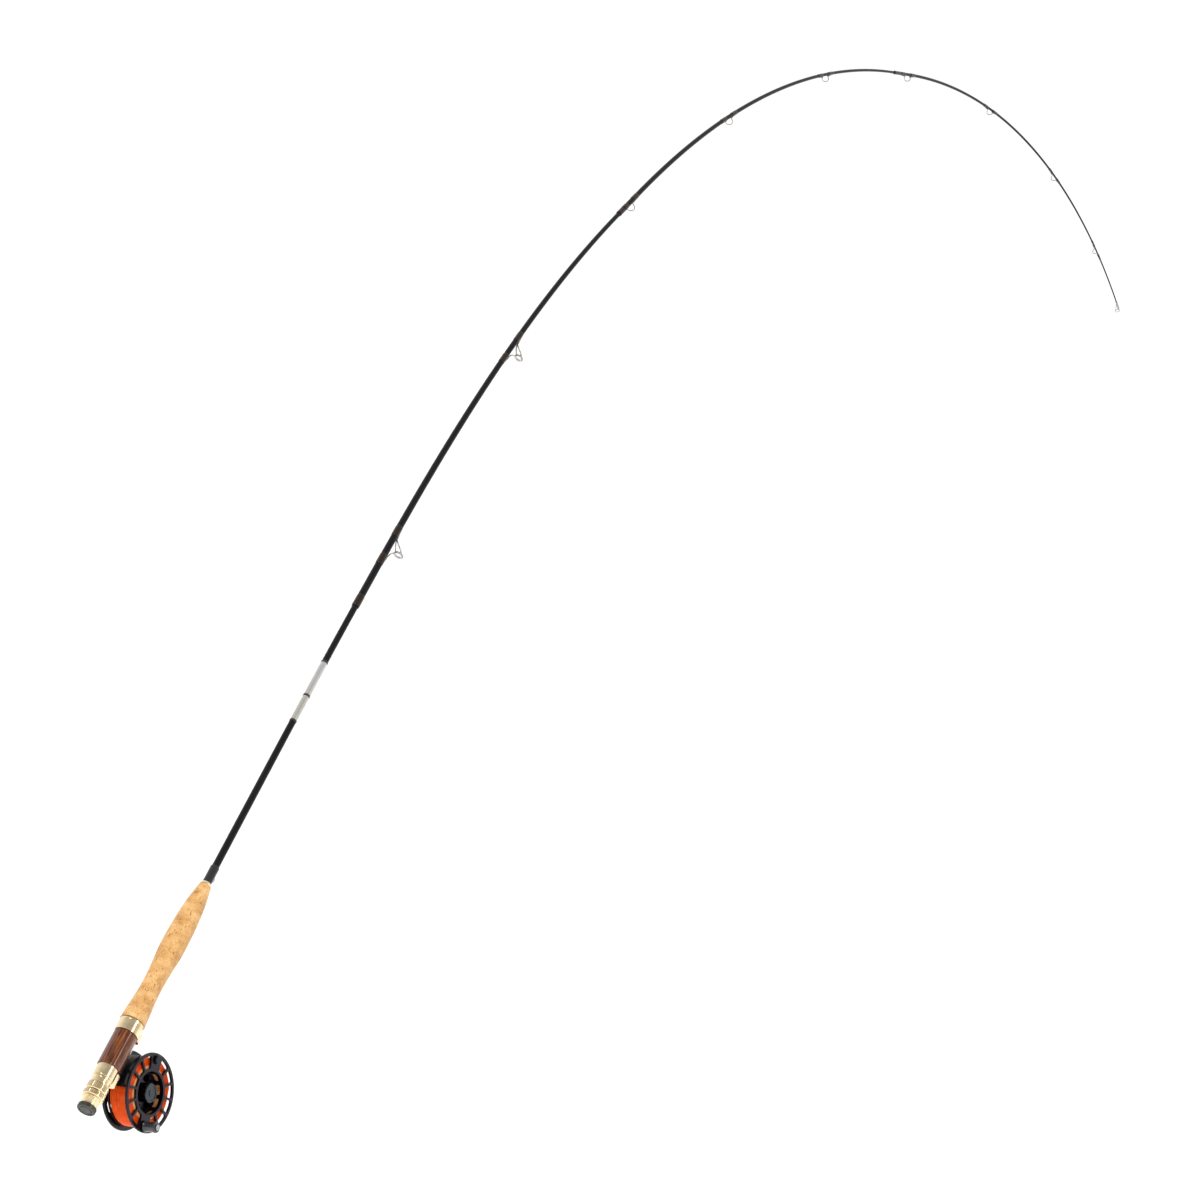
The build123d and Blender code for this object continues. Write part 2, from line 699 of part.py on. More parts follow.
with BuildPart() as reel_foot:
    with BuildSketch(handle_plane) as foot_outline:
        with BuildLine():
            Polyline(
                (foot_start, foot_seat), (foot_end, foot_seat), (foot_end, foot_seat + 1.0),
                (86, foot_seat + 2.2), (76, pedestal_top), (56, pedestal_top),
                (50, foot_seat + 2.2), (foot_start, foot_seat + 1.0), close=True,
            )
        make_face()
    extrude(foot_outline.sketch, amount=foot_width / 2, both=True)
    with BuildSketch(handle_plane) as pedestal_outline:
        with BuildLine():
            Polyline(
                (54.5, pedestal_top - 0.5), (77.9, pedestal_top - 0.5), (75.5, 19.5), (56.9, 19.5),
                close=True,
            )
        make_face()
    extrude(pedestal_outline.sketch, amount=4.8, both=True)
    disc_on_reel(-8, 8, 0, rim_radius, mode=Mode.SUBTRACT)
    for side in (-1, 1):
        place = reel_along + side * foot_screw_spread
        hole_start = along * place + reelward * (foot_seat - 1)
        bar(hole_start, hole_start + reelward * 12, 1.6, mode=Mode.SUBTRACT)
        bar(hole_start, hole_start + reelward * 3.2, 3.0, mode=Mode.SUBTRACT)
reel_foot.part.label = "reel_foot"
export_step(reel_foot.part, "parts/reel_foot.step")

with BuildPart() as foot_screws:
    for side in (-1, 1):
        place = reel_along + side * foot_screw_spread
        head_start = along * place + reelward * (foot_seat + 0.3)
        bar(head_start, head_start + reelward * 1.8, 2.8)
        bar(head_start, head_start + reelward * 8.6, 1.45)
        with BuildSketch(Plane(origin=head_start, x_dir=along, z_dir=reelward)) as drive:
            RegularPolygon(1.1, 6)
        extrude(drive.sketch, amount=1.1, mode=Mode.SUBTRACT)
foot_screws.part.label = "foot_screws"
export_step(foot_screws.part, "parts/foot_screws.step")

with BuildPart() as reel_frame:
    with BuildSketch(reel_face(plate_face)) as plate:
        Circle(rim_radius)
        Circle(35.4, mode=Mode.SUBTRACT)
    extrude(plate.sketch, amount=plate_thickness)
    chamfer(reel_frame.edges().filter_by(GeomType.CIRCLE).sort_by(SortBy.RADIUS)[-2:], 0.7)
    with BuildSketch(reel_face(plate_face - 0.4)) as spokes:
        Circle(36.2)
        Circle(19.5, mode=Mode.SUBTRACT)
        with PolarLocations(27.6, 8, start_angle=rod_side_angle - 67.5):
            RectangleRounded(14.6, 13.4, 3.4, mode=Mode.SUBTRACT)
    extrude(spokes.sketch, amount=plate_thickness - 0.8)
    disc_on_reel(housing_front, plate_face, 0, housing_radius)
    disc_on_reel(plate_face - plate_thickness + 0.2, plate_face - 0.2, 0, 20.5)
    disc_on_reel(housing_front - 1, housing_floor, 0, housing_bore, mode=Mode.SUBTRACT)
    with BuildSketch(reel_face(plate_face - plate_thickness / 2)) as bridge:
        Circle(rim_radius)
        Circle(bridge_inner, mode=Mode.SUBTRACT)
        with BuildLine():
            reach = 60
            low_angle = radians(rod_side_angle - bridge_span / 2)
            high_angle = radians(rod_side_angle + bridge_span / 2)
            Polyline(
                (0, 0), (reach * cos(low_angle), reach * sin(low_angle)),
                (reach * cos(high_angle), reach * sin(high_angle)), close=True,
            )
        make_face(mode=Mode.INTERSECT)
    extrude(bridge.sketch, amount=plate_face - plate_thickness / 2 - bridge_front)
    with Locations(reel_face(plate_face + 1)):
        Cylinder(spindle_radius, 10, mode=Mode.SUBTRACT)
        with PolarLocations(pin_circle, 3):
            Cylinder(pin_radius + 0.05, 10, mode=Mode.SUBTRACT)
    for side in (-1, 1):
        place = along * (reel_along + side * foot_screw_spread) + reelward * foot_seat
        bar(place, place + reelward * 12, 1.45, mode=Mode.SUBTRACT)
reel_frame.part.label = "reel_frame"
export_step(reel_frame.part, "parts/reel_frame.step")

# ---------------------------------------------------------------- reel: spindle and drag
spindle_front = -14.0
spindle_rear = 23.2
with BuildPart() as spindle:
    disc_on_reel(spindle_front, spindle_rear, 0, spindle_radius)
    disc_on_reel(11.9, housing_floor, 0, 4.6)
    disc_on_reel(spindle_front - 1, spindle_front + 5, 0, 1.25, mode=Mode.SUBTRACT)
    disc_on_reel(21.4, 22.0, 2.5, 4, mode=Mode.SUBTRACT)
spindle.part.label = "spindle"
export_step(spindle.part, "parts/spindle.step")

with BuildPart() as push_pins:
    with Locations(reel_face(plate_face + 0.3)):
        with PolarLocations(pin_circle, 3):
            Cylinder(pin_radius, 3.7, align=(Align.CENTER, Align.CENTER, Align.MIN))
push_pins.part.label = "push_pins"
export_step(push_pins.part, "parts/push_pins.step")

with BuildPart() as disc_springs:
    for low, rise in [(10.9, 0.35), (11.7, -0.35)]:
        turn_on_reel(
            (4.9, low + rise), (9.2, low), (9.2, low + 0.35), (4.9, low + rise + 0.35),
        )
disc_springs.part.label = "disc_springs"
export_step(disc_springs.part, "parts/disc_springs.step")

with BuildPart() as pressure_plate:
    disc_on_reel(9.3, 10.8, 4.0, 13.9)
    with BuildSketch(reel_face(10.8)) as keys:
        with PolarLocations(13.7, 3, start_angle=30):
            Rectangle(0.8, 3.0)
    extrude(keys.sketch, amount=1.5)
    disc_on_reel(9.0, 11.0, 14.3, 20, mode=Mode.SUBTRACT)
pressure_plate.part.label = "pressure_plate"
export_step(pressure_plate.part, "parts/pressure_plate.step")

with BuildPart() as drag_washer:
    disc_on_reel(8.3, 9.3, 4.2, 13.4)
drag_washer.part.label = "drag_washer"
export_step(drag_washer.part, "parts/drag_washer.step")

with BuildPart() as clutch_drum:
    disc_on_reel(7.1, 8.3, 4.4, 13.2)
    disc_on_reel(2.6, 7.1, 9.0, 12.6)
clutch_drum.part.label = "clutch_drum"
export_step(clutch_drum.part, "parts/clutch_drum.step")

with BuildPart() as one_way_bearing:
    disc_on_reel(2.8, 7.0, 8.3, 9.0)
    disc_on_reel(2.8, 7.0, 6.55, 8.3)
    with Locations(reel_face(6.6)):
        with PolarLocations(7.45, 10):
            Cylinder(0.62, 8, mode=Mode.SUBTRACT)
one_way_bearing.part.label = "one_way_bearing"
export_step(one_way_bearing.part, "parts/one_way_bearing.step")

with BuildPart() as clutch_rollers:
    with Locations(reel_face(4.9)):
        with PolarLocations(7.45, 10):
            Cylinder(0.58, 3.8)
clutch_rollers.part.label = "clutch_rollers"
export_step(clutch_rollers.part, "parts/clutch_rollers.step")

knob_low = 16.4
knob_high = 24.6
with BuildPart() as drag_knob:
    turn_on_reel(
        (spindle_radius + 0.06, knob_low), (11.6, knob_low), (12.6, knob_low + 1.0),
        (12.6, knob_high - 1.6), (11.4, knob_high), (5.6, knob_high), (5.6, 21.2),
        (spindle_radius + 0.06, 21.2),
    )
    with BuildSketch(reel_face(knob_high + 1)) as flutes:
        with PolarLocations(13.6, 12):
            Circle(2.0)
    extrude(flutes.sketch, amount=10, mode=Mode.SUBTRACT)
drag_knob.part.label = "drag_knob"
export_step(drag_knob.part, "parts/drag_knob.step")

with BuildPart() as retaining_clip:
    disc_on_reel(21.45, 21.95, 2.55, 4.8)
    with BuildSketch(reel_face(22.5)) as clip_gap:
        with Locations((4, 0)):
            Rectangle(5, 2.6)
    extrude(clip_gap.sketch, amount=2, mode=Mode.SUBTRACT)
retaining_clip.part.label = "retaining_clip"
export_step(retaining_clip.part, "parts/retaining_clip.step")

# ---------------------------------------------------------------- reel: click
click_tip = 20.5
click_low = 8.0
click_high = 10.2
with BuildPart() as click_gear:
    disc_on_reel(click_low, click_high, click_tip, arbor_radius - arbor_wall)
    with BuildSketch(reel_face(click_high)) as tooth_gaps:
        with PolarLocations(click_tip, 60):
            Rectangle(0.9, 0.9, rotation=45)
    extrude(tooth_gaps.sketch, amount=click_high - click_low, mode=Mode.SUBTRACT)
click_gear.part.label = "click_gear"
export_step(click_gear.part, "parts/click_gear.step")

pawl_angle = rod_side_angle + 180
with BuildPart() as click_pawl:
    with BuildSketch(reel_face(click_high - 0.2)) as pawl_outline:
        with Locations(Rotation(0, 0, pawl_angle)):
            with Locations((18.75, 0)):
                Circle(1.1)
            with Locations((19.3, 0)):
                Rectangle(1.6, 1.2)
    extrude(pawl_outline.sketch, amount=1.8)
    with Locations(reel_face(9)):
        with PolarLocations(18.75, 1, start_angle=pawl_angle):
            Cylinder(0.55, 8, mode=Mode.SUBTRACT)
click_pawl.part.label = "click_pawl"
export_step(click_pawl.part, "parts/click_pawl.step")

with BuildPart() as pawl_pin:
    with Locations(reel_face(plate_face - plate_thickness + 0.2)):
        with PolarLocations(18.75, 1, start_angle=pawl_angle):
            Cylinder(0.5, 4.4, align=(Align.CENTER, Align.CENTER, Align.MIN))
pawl_pin.part.label = "pawl_pin"
export_step(pawl_pin.part, "parts/pawl_pin.step")

# ---------------------------------------------------------------- reel: spool
flange_front = -reel_half_width
flange_back = flange_front + flange_thickness
rear_flange_low = 9.1
rear_flange_high = 10.7
web_front = -4.4
web_back = -2.2
hub_radius = 8.0
bearing_radius = 5.0
hub_front = -13.8
hub_back = 1.4
port_step = 360 / port_positions
port_inner = 24.3
port_outer = 36.7
port_spoke = 2.3
handle_pad = 15.0
arbor_windows = 10
window_y = -8.4
handle_bore = 1.5

with BuildPart() as spool:
    disc_on_reel(flange_front, flange_back, arbor_radius - arbor_wall, rim_radius)
    chamfer(spool.edges().filter_by(GeomType.CIRCLE).sort_by(SortBy.RADIUS)[-2:], 0.6)
    disc_on_reel(flange_back - 1, rear_flange_high, arbor_radius - arbor_wall, arbor_radius)
    disc_on_reel(rear_flange_low, rear_flange_high, arbor_radius - arbor_wall, rear_flange_radius)
    disc_on_reel(web_front, web_back, hub_radius - 1, arbor_radius - 1)
    disc_on_reel(hub_front, hub_back, bearing_radius, hub_radius)
    with BuildSketch(reel_face(flange_back + 0.5)) as ports:
        Circle(port_outer)
        Circle(port_inner, mode=Mode.SUBTRACT)
        with PolarLocations(0, port_positions, start_angle=handle_angle + port_step / 2):
            Rectangle(rim_radius, port_spoke, align=(Align.MIN, Align.CENTER), mode=Mode.SUBTRACT)
        with PolarLocations(0, 2, start_angle=handle_angle):
            Rectangle(rim_radius, handle_pad, align=(Align.MIN, Align.CENTER), mode=Mode.SUBTRACT)
        fillet(ports.vertices(), 1.5)
    extrude(ports.sketch, amount=flange_thickness + 1, mode=Mode.SUBTRACT)
    for number in range(arbor_windows):
        turn = radians(handle_angle + number * 360 / arbor_windows)
        outward = Vector(cos(turn), 0, sin(turn))
        window_centre = reel_centre + Vector(0, window_y, 0) + outward * (arbor_radius - 3)
        with BuildSketch(Plane(origin=window_centre, x_dir=(0, 1, 0), z_dir=outward)) as window:
            RectangleRounded(5.6, 10.2, 1.6)
        extrude(window.sketch, amount=4, mode=Mode.SUBTRACT)
    with BuildSketch(reel_face(rear_flange_high + 0.5)) as rear_ports:
        with PolarLocations(29.8, 10, start_angle=handle_angle + 18):
            Circle(4.6)
    extrude(rear_ports.sketch, amount=2.6, mode=Mode.SUBTRACT)
    with BuildSketch(reel_face(web_back + 0.5)) as web_ports:
        with PolarLocations(15.4, 6):
            RectangleRounded(8.2, 8.6, 2.0)
    extrude(web_ports.sketch, amount=4, mode=Mode.SUBTRACT)
    with Locations(reel_face(flange_front)):
        with PolarLocations(handle_circle, 2, start_angle=handle_angle):
            Cylinder(handle_bore, 12, mode=Mode.SUBTRACT)
spool.part.label = "spool"
export_step(spool.part, "parts/spool.step")

with BuildPart() as front_bearing:
    disc_on_reel(-13.4, -10.6, spindle_radius + 0.03, 3.9)
    disc_on_reel(-13.4, -10.6, 4.15, bearing_radius)
    disc_on_reel(-12.3, -11.7, 3.8, 4.2)
front_bearing.part.label = "front_bearing"
export_step(front_bearing.part, "parts/front_bearing.step")

with BuildPart() as rear_bearing:
    disc_on_reel(-1.6, 1.2, spindle_radius + 0.03, 3.9)
    disc_on_reel(-1.6, 1.2, 4.15, bearing_radius)
    disc_on_reel(-0.5, 0.1, 3.8, 4.2)
rear_bearing.part.label = "rear_bearing"
export_step(rear_bearing.part, "parts/rear_bearing.step")

with BuildPart() as clutch_hub:
    disc_on_reel(hub_back, 6.6, spindle_radius + 0.4, 6.5)
clutch_hub.part.label = "clutch_hub"
export_step(clutch_hub.part, "parts/clutch_hub.step")

with BuildPart() as backing_line:
    disc_on_reel(flange_back, rear_flange_low, arbor_radius, backing_radius)
backing_line.part.label = "backing_line"
export_step(backing_line.part, "parts/backing_line.step")

with BuildPart() as fly_line:
    turn_on_reel(
        (backing_radius, flange_back), (line_radius - 0.8, flange_back), (line_radius, flange_back + 1.2),
        (line_radius, rear_flange_low - 1.2), (line_radius - 0.8, rear_flange_low),
        (backing_radius, rear_flange_low),
    )
fly_line.part.label = "fly_line"
export_step(fly_line.part, "parts/fly_line.step")

cap_front = -16.6
seal_outer = 9.1
with BuildPart() as spool_cap:
    turn_on_reel(
        (0, cap_front), (cap_hub_radius - 0.8, cap_front), (cap_hub_radius, cap_front + 0.8),
        (cap_hub_radius, web_front - 0.3), (seal_outer, web_front - 0.3),
        (seal_outer, web_front - 1.5), (hub_radius + 0.06, web_front - 1.5),
        (hub_radius + 0.06, hub_front - 0.5), (0, hub_front - 0.5),
    )
    with BuildSketch(reel_face(cap_front + 0.5)) as cap_recess:
        Circle(7.6)
        Circle(3.2, mode=Mode.SUBTRACT)
    extrude(cap_recess.sketch, amount=1, mode=Mode.SUBTRACT)
    with BuildSketch(reel_face(web_front - 1.2)) as cap_grips:
        with PolarLocations(cap_hub_radius + 0.35, 24):
            Rectangle(0.9, 0.9, rotation=45)
    extrude(cap_grips.sketch, amount=9.6, mode=Mode.SUBTRACT)
spool_cap.part.label = "spool_cap"
export_step(spool_cap.part, "parts/spool_cap.step")

with BuildPart() as cap_seal:
    seal_plane = Plane(origin=reel_centre, x_dir=(1, 0, 0), z_dir=(0, 0, 1))
    with BuildSketch(seal_plane) as seal_section:
        with Locations(((hub_radius + seal_outer) / 2, web_front - 0.9)):
            Circle(0.46)
    revolve(seal_section.sketch, axis=reel_axis)
cap_seal.part.label = "cap_seal"
export_step(cap_seal.part, "parts/cap_seal.step")


def handle_spot(y, radial=handle_circle):
    """The plane across the winding handle's post, at y."""
    turn = radians(handle_angle)
    centre = reel_centre + Vector(radial * cos(turn), y, radial * sin(turn))
    return Plane(origin=centre, x_dir=(1, 0, 0), z_dir=(0, -1, 0))


knob_length = 15.0
knob_base = flange_front - 1.2
post_radius = 1.9
with BuildPart() as handle_post:
    with BuildSketch(handle_spot(flange_back)) as post_stem:
        Circle(handle_bore)
    extrude(post_stem.sketch, amount=flange_thickness)
    with BuildSketch(handle_spot(flange_front)) as post_flange:
        Circle(3.4)
    extrude(post_flange.sketch, amount=0.9)
    with BuildSketch(handle_spot(flange_front)) as post_body:
        Circle(post_radius)
    extrude(post_body.sketch, amount=knob_length + 0.6)
    with BuildSketch(handle_spot(flange_front - knob_length - 0.6)) as post_head:
        Circle(3.0)
    extrude(post_head.sketch, amount=0.9)
    with BuildSketch(handle_spot(flange_front - knob_length - 1.5)) as post_slot:
        Rectangle(7, 0.8)
    extrude(post_slot.sketch, amount=-0.6, mode=Mode.SUBTRACT)
handle_post.part.label = "handle_post"
export_step(handle_post.part, "parts/handle_post.step")

with BuildPart() as handle_knob:
    knob_plane = Plane(origin=handle_spot(0).origin, x_dir=(1, 0, 0), z_dir=(0, 0, 1))
    with BuildSketch(knob_plane) as knob_profile:
        with BuildLine():
            Polyline((post_radius + 0.06, knob_base), (5.4, knob_base), (5.9, knob_base - 0.6))
            Spline((5.9, knob_base - 0.6), (5.0, knob_base - 5.0), (5.1, knob_base - 8.5),
                   (5.7, knob_base - knob_length + 2.0))
            Polyline(
                (5.7, knob_base - knob_length + 2.0), (5.0, knob_base - knob_length + 0.9),
                (3.5, knob_base - knob_length + 0.9), (3.5, knob_base - knob_length + 1.1),
                (post_radius + 0.06, knob_base - knob_length + 1.1), (post_radius + 0.06, knob_base),
            )
        make_face()
    revolve(knob_profile.sketch, axis=Axis(handle_spot(0).origin, (0, 1, 0)))
handle_knob.part.label = "handle_knob"
export_step(handle_knob.part, "parts/handle_knob.step")

with BuildPart() as counterweight:
    weight_spot = handle_spot(flange_front, -handle_circle)
    with BuildSketch(weight_spot) as weight_outline:
        Circle(4.6)
    extrude(weight_outline.sketch, amount=2.6)
    chamfer(counterweight.faces().sort_by(Axis.Y)[0].edges(), 0.6)
    with BuildSketch(handle_spot(flange_back, -handle_circle)) as weight_stem:
        Circle(handle_bore)
    extrude(weight_stem.sketch, amount=flange_thickness)
counterweight.part.label = "counterweight"
export_step(counterweight.part, "parts/counterweight.step")
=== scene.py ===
import json
import math
import random

import bmesh
import bpy
from mathutils import Matrix, Vector, noise


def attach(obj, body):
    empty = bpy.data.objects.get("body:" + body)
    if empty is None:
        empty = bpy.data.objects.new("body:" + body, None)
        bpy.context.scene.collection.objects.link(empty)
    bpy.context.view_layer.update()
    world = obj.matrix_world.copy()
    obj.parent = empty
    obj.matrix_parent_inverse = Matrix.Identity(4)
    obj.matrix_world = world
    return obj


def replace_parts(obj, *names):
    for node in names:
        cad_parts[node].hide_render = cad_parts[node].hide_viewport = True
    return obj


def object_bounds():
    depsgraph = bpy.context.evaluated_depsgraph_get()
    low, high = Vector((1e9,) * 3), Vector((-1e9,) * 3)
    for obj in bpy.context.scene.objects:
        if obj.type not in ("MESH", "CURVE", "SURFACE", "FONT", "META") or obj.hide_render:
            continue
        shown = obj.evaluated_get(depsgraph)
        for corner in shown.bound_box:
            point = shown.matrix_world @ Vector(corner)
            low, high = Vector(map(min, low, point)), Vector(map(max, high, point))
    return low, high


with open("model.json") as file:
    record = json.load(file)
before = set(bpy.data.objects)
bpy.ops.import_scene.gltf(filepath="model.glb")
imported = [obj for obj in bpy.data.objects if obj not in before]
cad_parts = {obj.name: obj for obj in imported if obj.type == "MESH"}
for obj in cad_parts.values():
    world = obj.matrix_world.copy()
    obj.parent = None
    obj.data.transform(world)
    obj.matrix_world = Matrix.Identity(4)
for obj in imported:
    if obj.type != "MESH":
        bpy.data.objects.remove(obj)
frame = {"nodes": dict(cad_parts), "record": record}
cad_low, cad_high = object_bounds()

# The looks of a fly rod and reel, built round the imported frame. Blender's pieces are laid out
# in millimetres along the rod, s from the butt cap's end face, and become metres in skin().
MM = 0.001

# ---------------------------------------------------------------- the rod's layout, as in the frame
ROD_LENGTH = 2743.0
BUTT_ELEVATION = 45.3
FERRULE_OVERLAPS = (60.0, 50.0, 40.0)
SECTION_LENGTH = (ROD_LENGTH + sum(FERRULE_OVERLAPS)) / 4
SECTION_STARTS = [0.0]
for overlap in FERRULE_OVERLAPS:
    SECTION_STARTS.append(SECTION_STARTS[-1] + SECTION_LENGTH - overlap)
BEND_START = 450.0
BEND_TURN = 97.5
BEND_POWER = 1.87
BLANK_START = 9.3
BLANK_WALLS = (0.65, 0.65, 0.65, 0.5)
FERRULE_PLAY = 0.03
TUBE_RADII = ((4.30, 3.30), (3.98, 2.45), (3.02, 1.48), (2.02, 0.80))
GRIP_START = 108.8
GRIP_END = 283.8
CORK_RING = 12.5
SECTION_TURNS = (0.0, math.radians(20.0), 0.0, 0.0)
STRIPPING_GUIDES = ((752.0, 15.2, 4.6, 13.0), (1067.0, 14.6, 4.0, 11.5))  # place, height, radius, reach
THIRD_GUIDES = (1364.0, 1608.0, 1846.0)
TIP_GUIDES = (2055.0, 2281.0, 2482.0, 2639.0)
REEL_ALONG = 66.2
REEL_BELOW = 55.9


def flexed_length(s):
    """Length of rod between the bend's start and s that is free to bend."""
    length = max(0.0, s - BEND_START)
    for low, overlap in zip(SECTION_STARTS[1:], FERRULE_OVERLAPS):
        length -= min(max(s - low, 0.0), overlap)
    return length


def heading(s):
    """The rod's direction at s, in radians above level."""
    share = flexed_length(min(s, ROD_LENGTH)) / flexed_length(ROD_LENGTH)
    return math.radians(BUTT_ELEVATION - BEND_TURN * share**BEND_POWER)


SPARE_LENGTH = 20  # the curve runs on past the tip
curve = [Vector((0, 0, 0))]
for step in range(int(ROD_LENGTH) + SPARE_LENGTH):
    angle = heading(step + 0.5)
    curve.append(curve[-1] + Vector((math.cos(angle), 0, math.sin(angle))))

ACROSS = Vector((0, 1, 0))


def turn_angles(count):
    """The angles of equal steps round a circle."""
    return [2 * math.pi * number / count for number in range(count)]


def rod_frame(s, turn=0.0):
    """The rod's centre at s, then the ways out to the guides' side, across, and up the rod.

    The turn is a section's turn in its ferrule, towards -Y.
    """
    number = int(max(s, 0))
    centre = curve[number].lerp(curve[number + 1], s - number)
    angle = heading(s)
    towards_reel = Vector((math.sin(angle), 0, -math.cos(angle)))
    out = towards_reel * math.cos(turn) - ACROSS * math.sin(turn)
    across = ACROSS * math.cos(turn) + towards_reel * math.sin(turn)
    return centre, out, across, Vector((math.cos(angle), 0, math.sin(angle)))


def rod_point(s, out, across=0.0, turn=0.0):
    """A point beside the rod at s, out to the guides' side and across."""
    centre, out_way, across_way, _ = rod_frame(s, turn)
    return centre + out_way * out + across_way * across


def rod_ring(s, radius, count, turn=0.0):
    """Points round the rod at s. The radius may be a function of the angle from the guides' side."""
    centre, out_way, across_way, _ = rod_frame(s, turn)
    points = []
    for angle in turn_angles(count):
        size = radius(angle) if callable(radius) else radius
        points.append(centre + out_way * (size * math.cos(angle)) + across_way * (size * math.sin(angle)))
    return points


def standing_ring(s, height, radius, count, turn=0.0):
    """A circle square to the rod at s, its centre at a height on the guides' side."""
    centre, out_way, across_way, _ = rod_frame(s, turn)
    middle = centre + out_way * height
    return [
        middle + (out_way * math.cos(angle) + across_way * math.sin(angle)) * radius
        for angle in turn_angles(count)
    ]


def blank_radius(section):
    """One section's outside radius, as a function of s."""
    start = SECTION_STARTS[section]
    low, high = TUBE_RADII[section]
    return lambda s: low + (high - low) * (s - start) / SECTION_LENGTH


# ---------------------------------------------------------------- materials
class Finish:
    """One material's node tree, built round its Principled shader."""

    def __init__(self, name, **sockets):
        self.material = bpy.data.materials.new(name)
        self.material.use_nodes = True
        self.tree = self.material.node_tree
        self.shader = self.tree.nodes["Principled BSDF"]
        for socket, value in sockets.items():
            self.shader.inputs[socket.replace("_", " ")].default_value = value

    def node(self, kind, inputs=None, **settings):
        """A shader node. An input is a value, or another node's output."""
        made = self.tree.nodes.new("ShaderNode" + kind)
        for setting, value in settings.items():
            setattr(made, setting, value)
        for socket, value in (inputs or {}).items():
            if isinstance(value, bpy.types.NodeSocket):
                self.tree.links.new(value, made.inputs[socket])
            else:
                made.inputs[socket].default_value = value
        return made

    def feed(self, socket, output):
        self.tree.links.new(output, self.shader.inputs[socket])

    def place(self, turn=0.0, scale=(1, 1, 1)):
        """Object coordinates turned about Y, then stretched."""
        coordinates = self.node("TexCoord").outputs["Object"]
        turned = self.node("Mapping", {"Vector": coordinates, "Rotation": (0, turn, 0)})
        return self.node("Mapping", {"Vector": turned.outputs[0], "Scale": scale}).outputs[0]

    def noise(self, vector, scale, detail=4.0, roughness=0.55, distortion=0.0):
        return self.node(
            "TexNoise",
            {"Vector": vector, "Scale": scale, "Detail": detail, "Roughness": roughness,
             "Distortion": distortion},
        ).outputs["Fac"]

    def ramp(self, factor, *stops):
        """A colour ramp through stops of (position, colour)."""
        made = self.node("ValToRGB", {"Fac": factor})
        elements = made.color_ramp.elements
        while len(elements) < len(stops):
            elements.new(0.5)
        for element, (position, colour) in zip(elements, stops):
            element.position = position
            element.color = (*colour, 1)
        return made.outputs["Color"]

    def span(self, value, low, high, from_low=0.0, from_high=1.0):
        """A value taken from one range to another."""
        return self.node(
            "MapRange",
            {"Value": value, "From Min": from_low, "From Max": from_high, "To Min": low, "To Max": high},
        ).outputs["Result"]

    def mix(self, factor, first, second, blend="MIX"):
        """Two colours mixed. The Mix node's colours are its inputs 6 and 7, and its output 2."""
        inputs = {0: factor, 6: first, 7: second}
        return self.node("Mix", inputs, data_type="RGBA", blend_type=blend).outputs[2]

    def math(self, operation, first, second=0.0):
        return self.node("Math", {0: first, 1: second}, operation=operation).outputs[0]

    def bump(self, height, distance, strength):
        return self.node("Bump", {"Height": height, "Distance": distance, "Strength": strength}).outputs[0]


HANDLE_TURN = math.radians(BUTT_ELEVATION)
WAVES_PER_UNIT = 0.314  # a Wave texture's scale times its pitch


def turned_metal(name, dark, bright, roughness, groove_pitch, turn=0.0, axis="X"):
    """Machined metal: fine tool marks round its axis, faint smears and small dents."""
    made = Finish(name, Metallic=1.0)
    place = made.place(turn)
    cloud = made.noise(place, 180, 5)
    made.feed("Base Color", made.ramp(cloud, (0.3, dark), (0.7, bright)))
    marks = made.node(
        "TexWave",
        {"Vector": place, "Scale": WAVES_PER_UNIT / (groove_pitch * MM), "Distortion": 1.2,
         "Detail": 2.0, "Detail Scale": 3.0},
        bands_direction=axis,
    ).outputs["Fac"]
    fine = made.noise(place, 2600, 3)
    made.feed("Roughness", made.span(made.mix(0.5, cloud, fine), roughness * 0.7, roughness * 1.4))
    height = made.math("ADD", made.math("MULTIPLY", marks, 0.6), made.math("MULTIPLY", fine, 0.4))
    made.feed("Normal", made.bump(height, 0.000012, 0.5))
    return made.material


def blasted_metal(name, dark, bright, roughness, coat):
    """Bead-blasted and anodised aluminium."""
    made = Finish(name, Metallic=0.85, Coat_Weight=coat, Coat_Roughness=0.18)
    place = made.place()
    cloud = made.noise(place, 90, 4)
    made.feed("Base Color", made.ramp(cloud, (0.35, dark), (0.75, bright)))
    grain = made.noise(place, 5200, 3, 0.7)
    made.feed("Roughness", made.span(made.mix(0.6, cloud, grain), roughness * 0.75, roughness * 1.3))
    made.feed("Normal", made.bump(grain, 0.00001, 0.6))
    return made.material


def moulded(name, dark, bright, roughness, scale=1200, bump=0.00002, coat=0.0):
    """Plastic, rubber, foam or ceramic with a fine skin."""
    made = Finish(name, Coat_Weight=coat, Coat_Roughness=0.05)
    place = made.place()
    cloud = made.noise(place, scale * 0.08, 4)
    made.feed("Base Color", made.ramp(cloud, (0.3, dark), (0.7, bright)))
    grain = made.noise(place, scale, 3)
    made.feed("Roughness", made.span(made.mix(0.5, cloud, grain), roughness * 0.75, roughness * 1.3))
    made.feed("Normal", made.bump(grain, bump, 0.6))
    return made.material


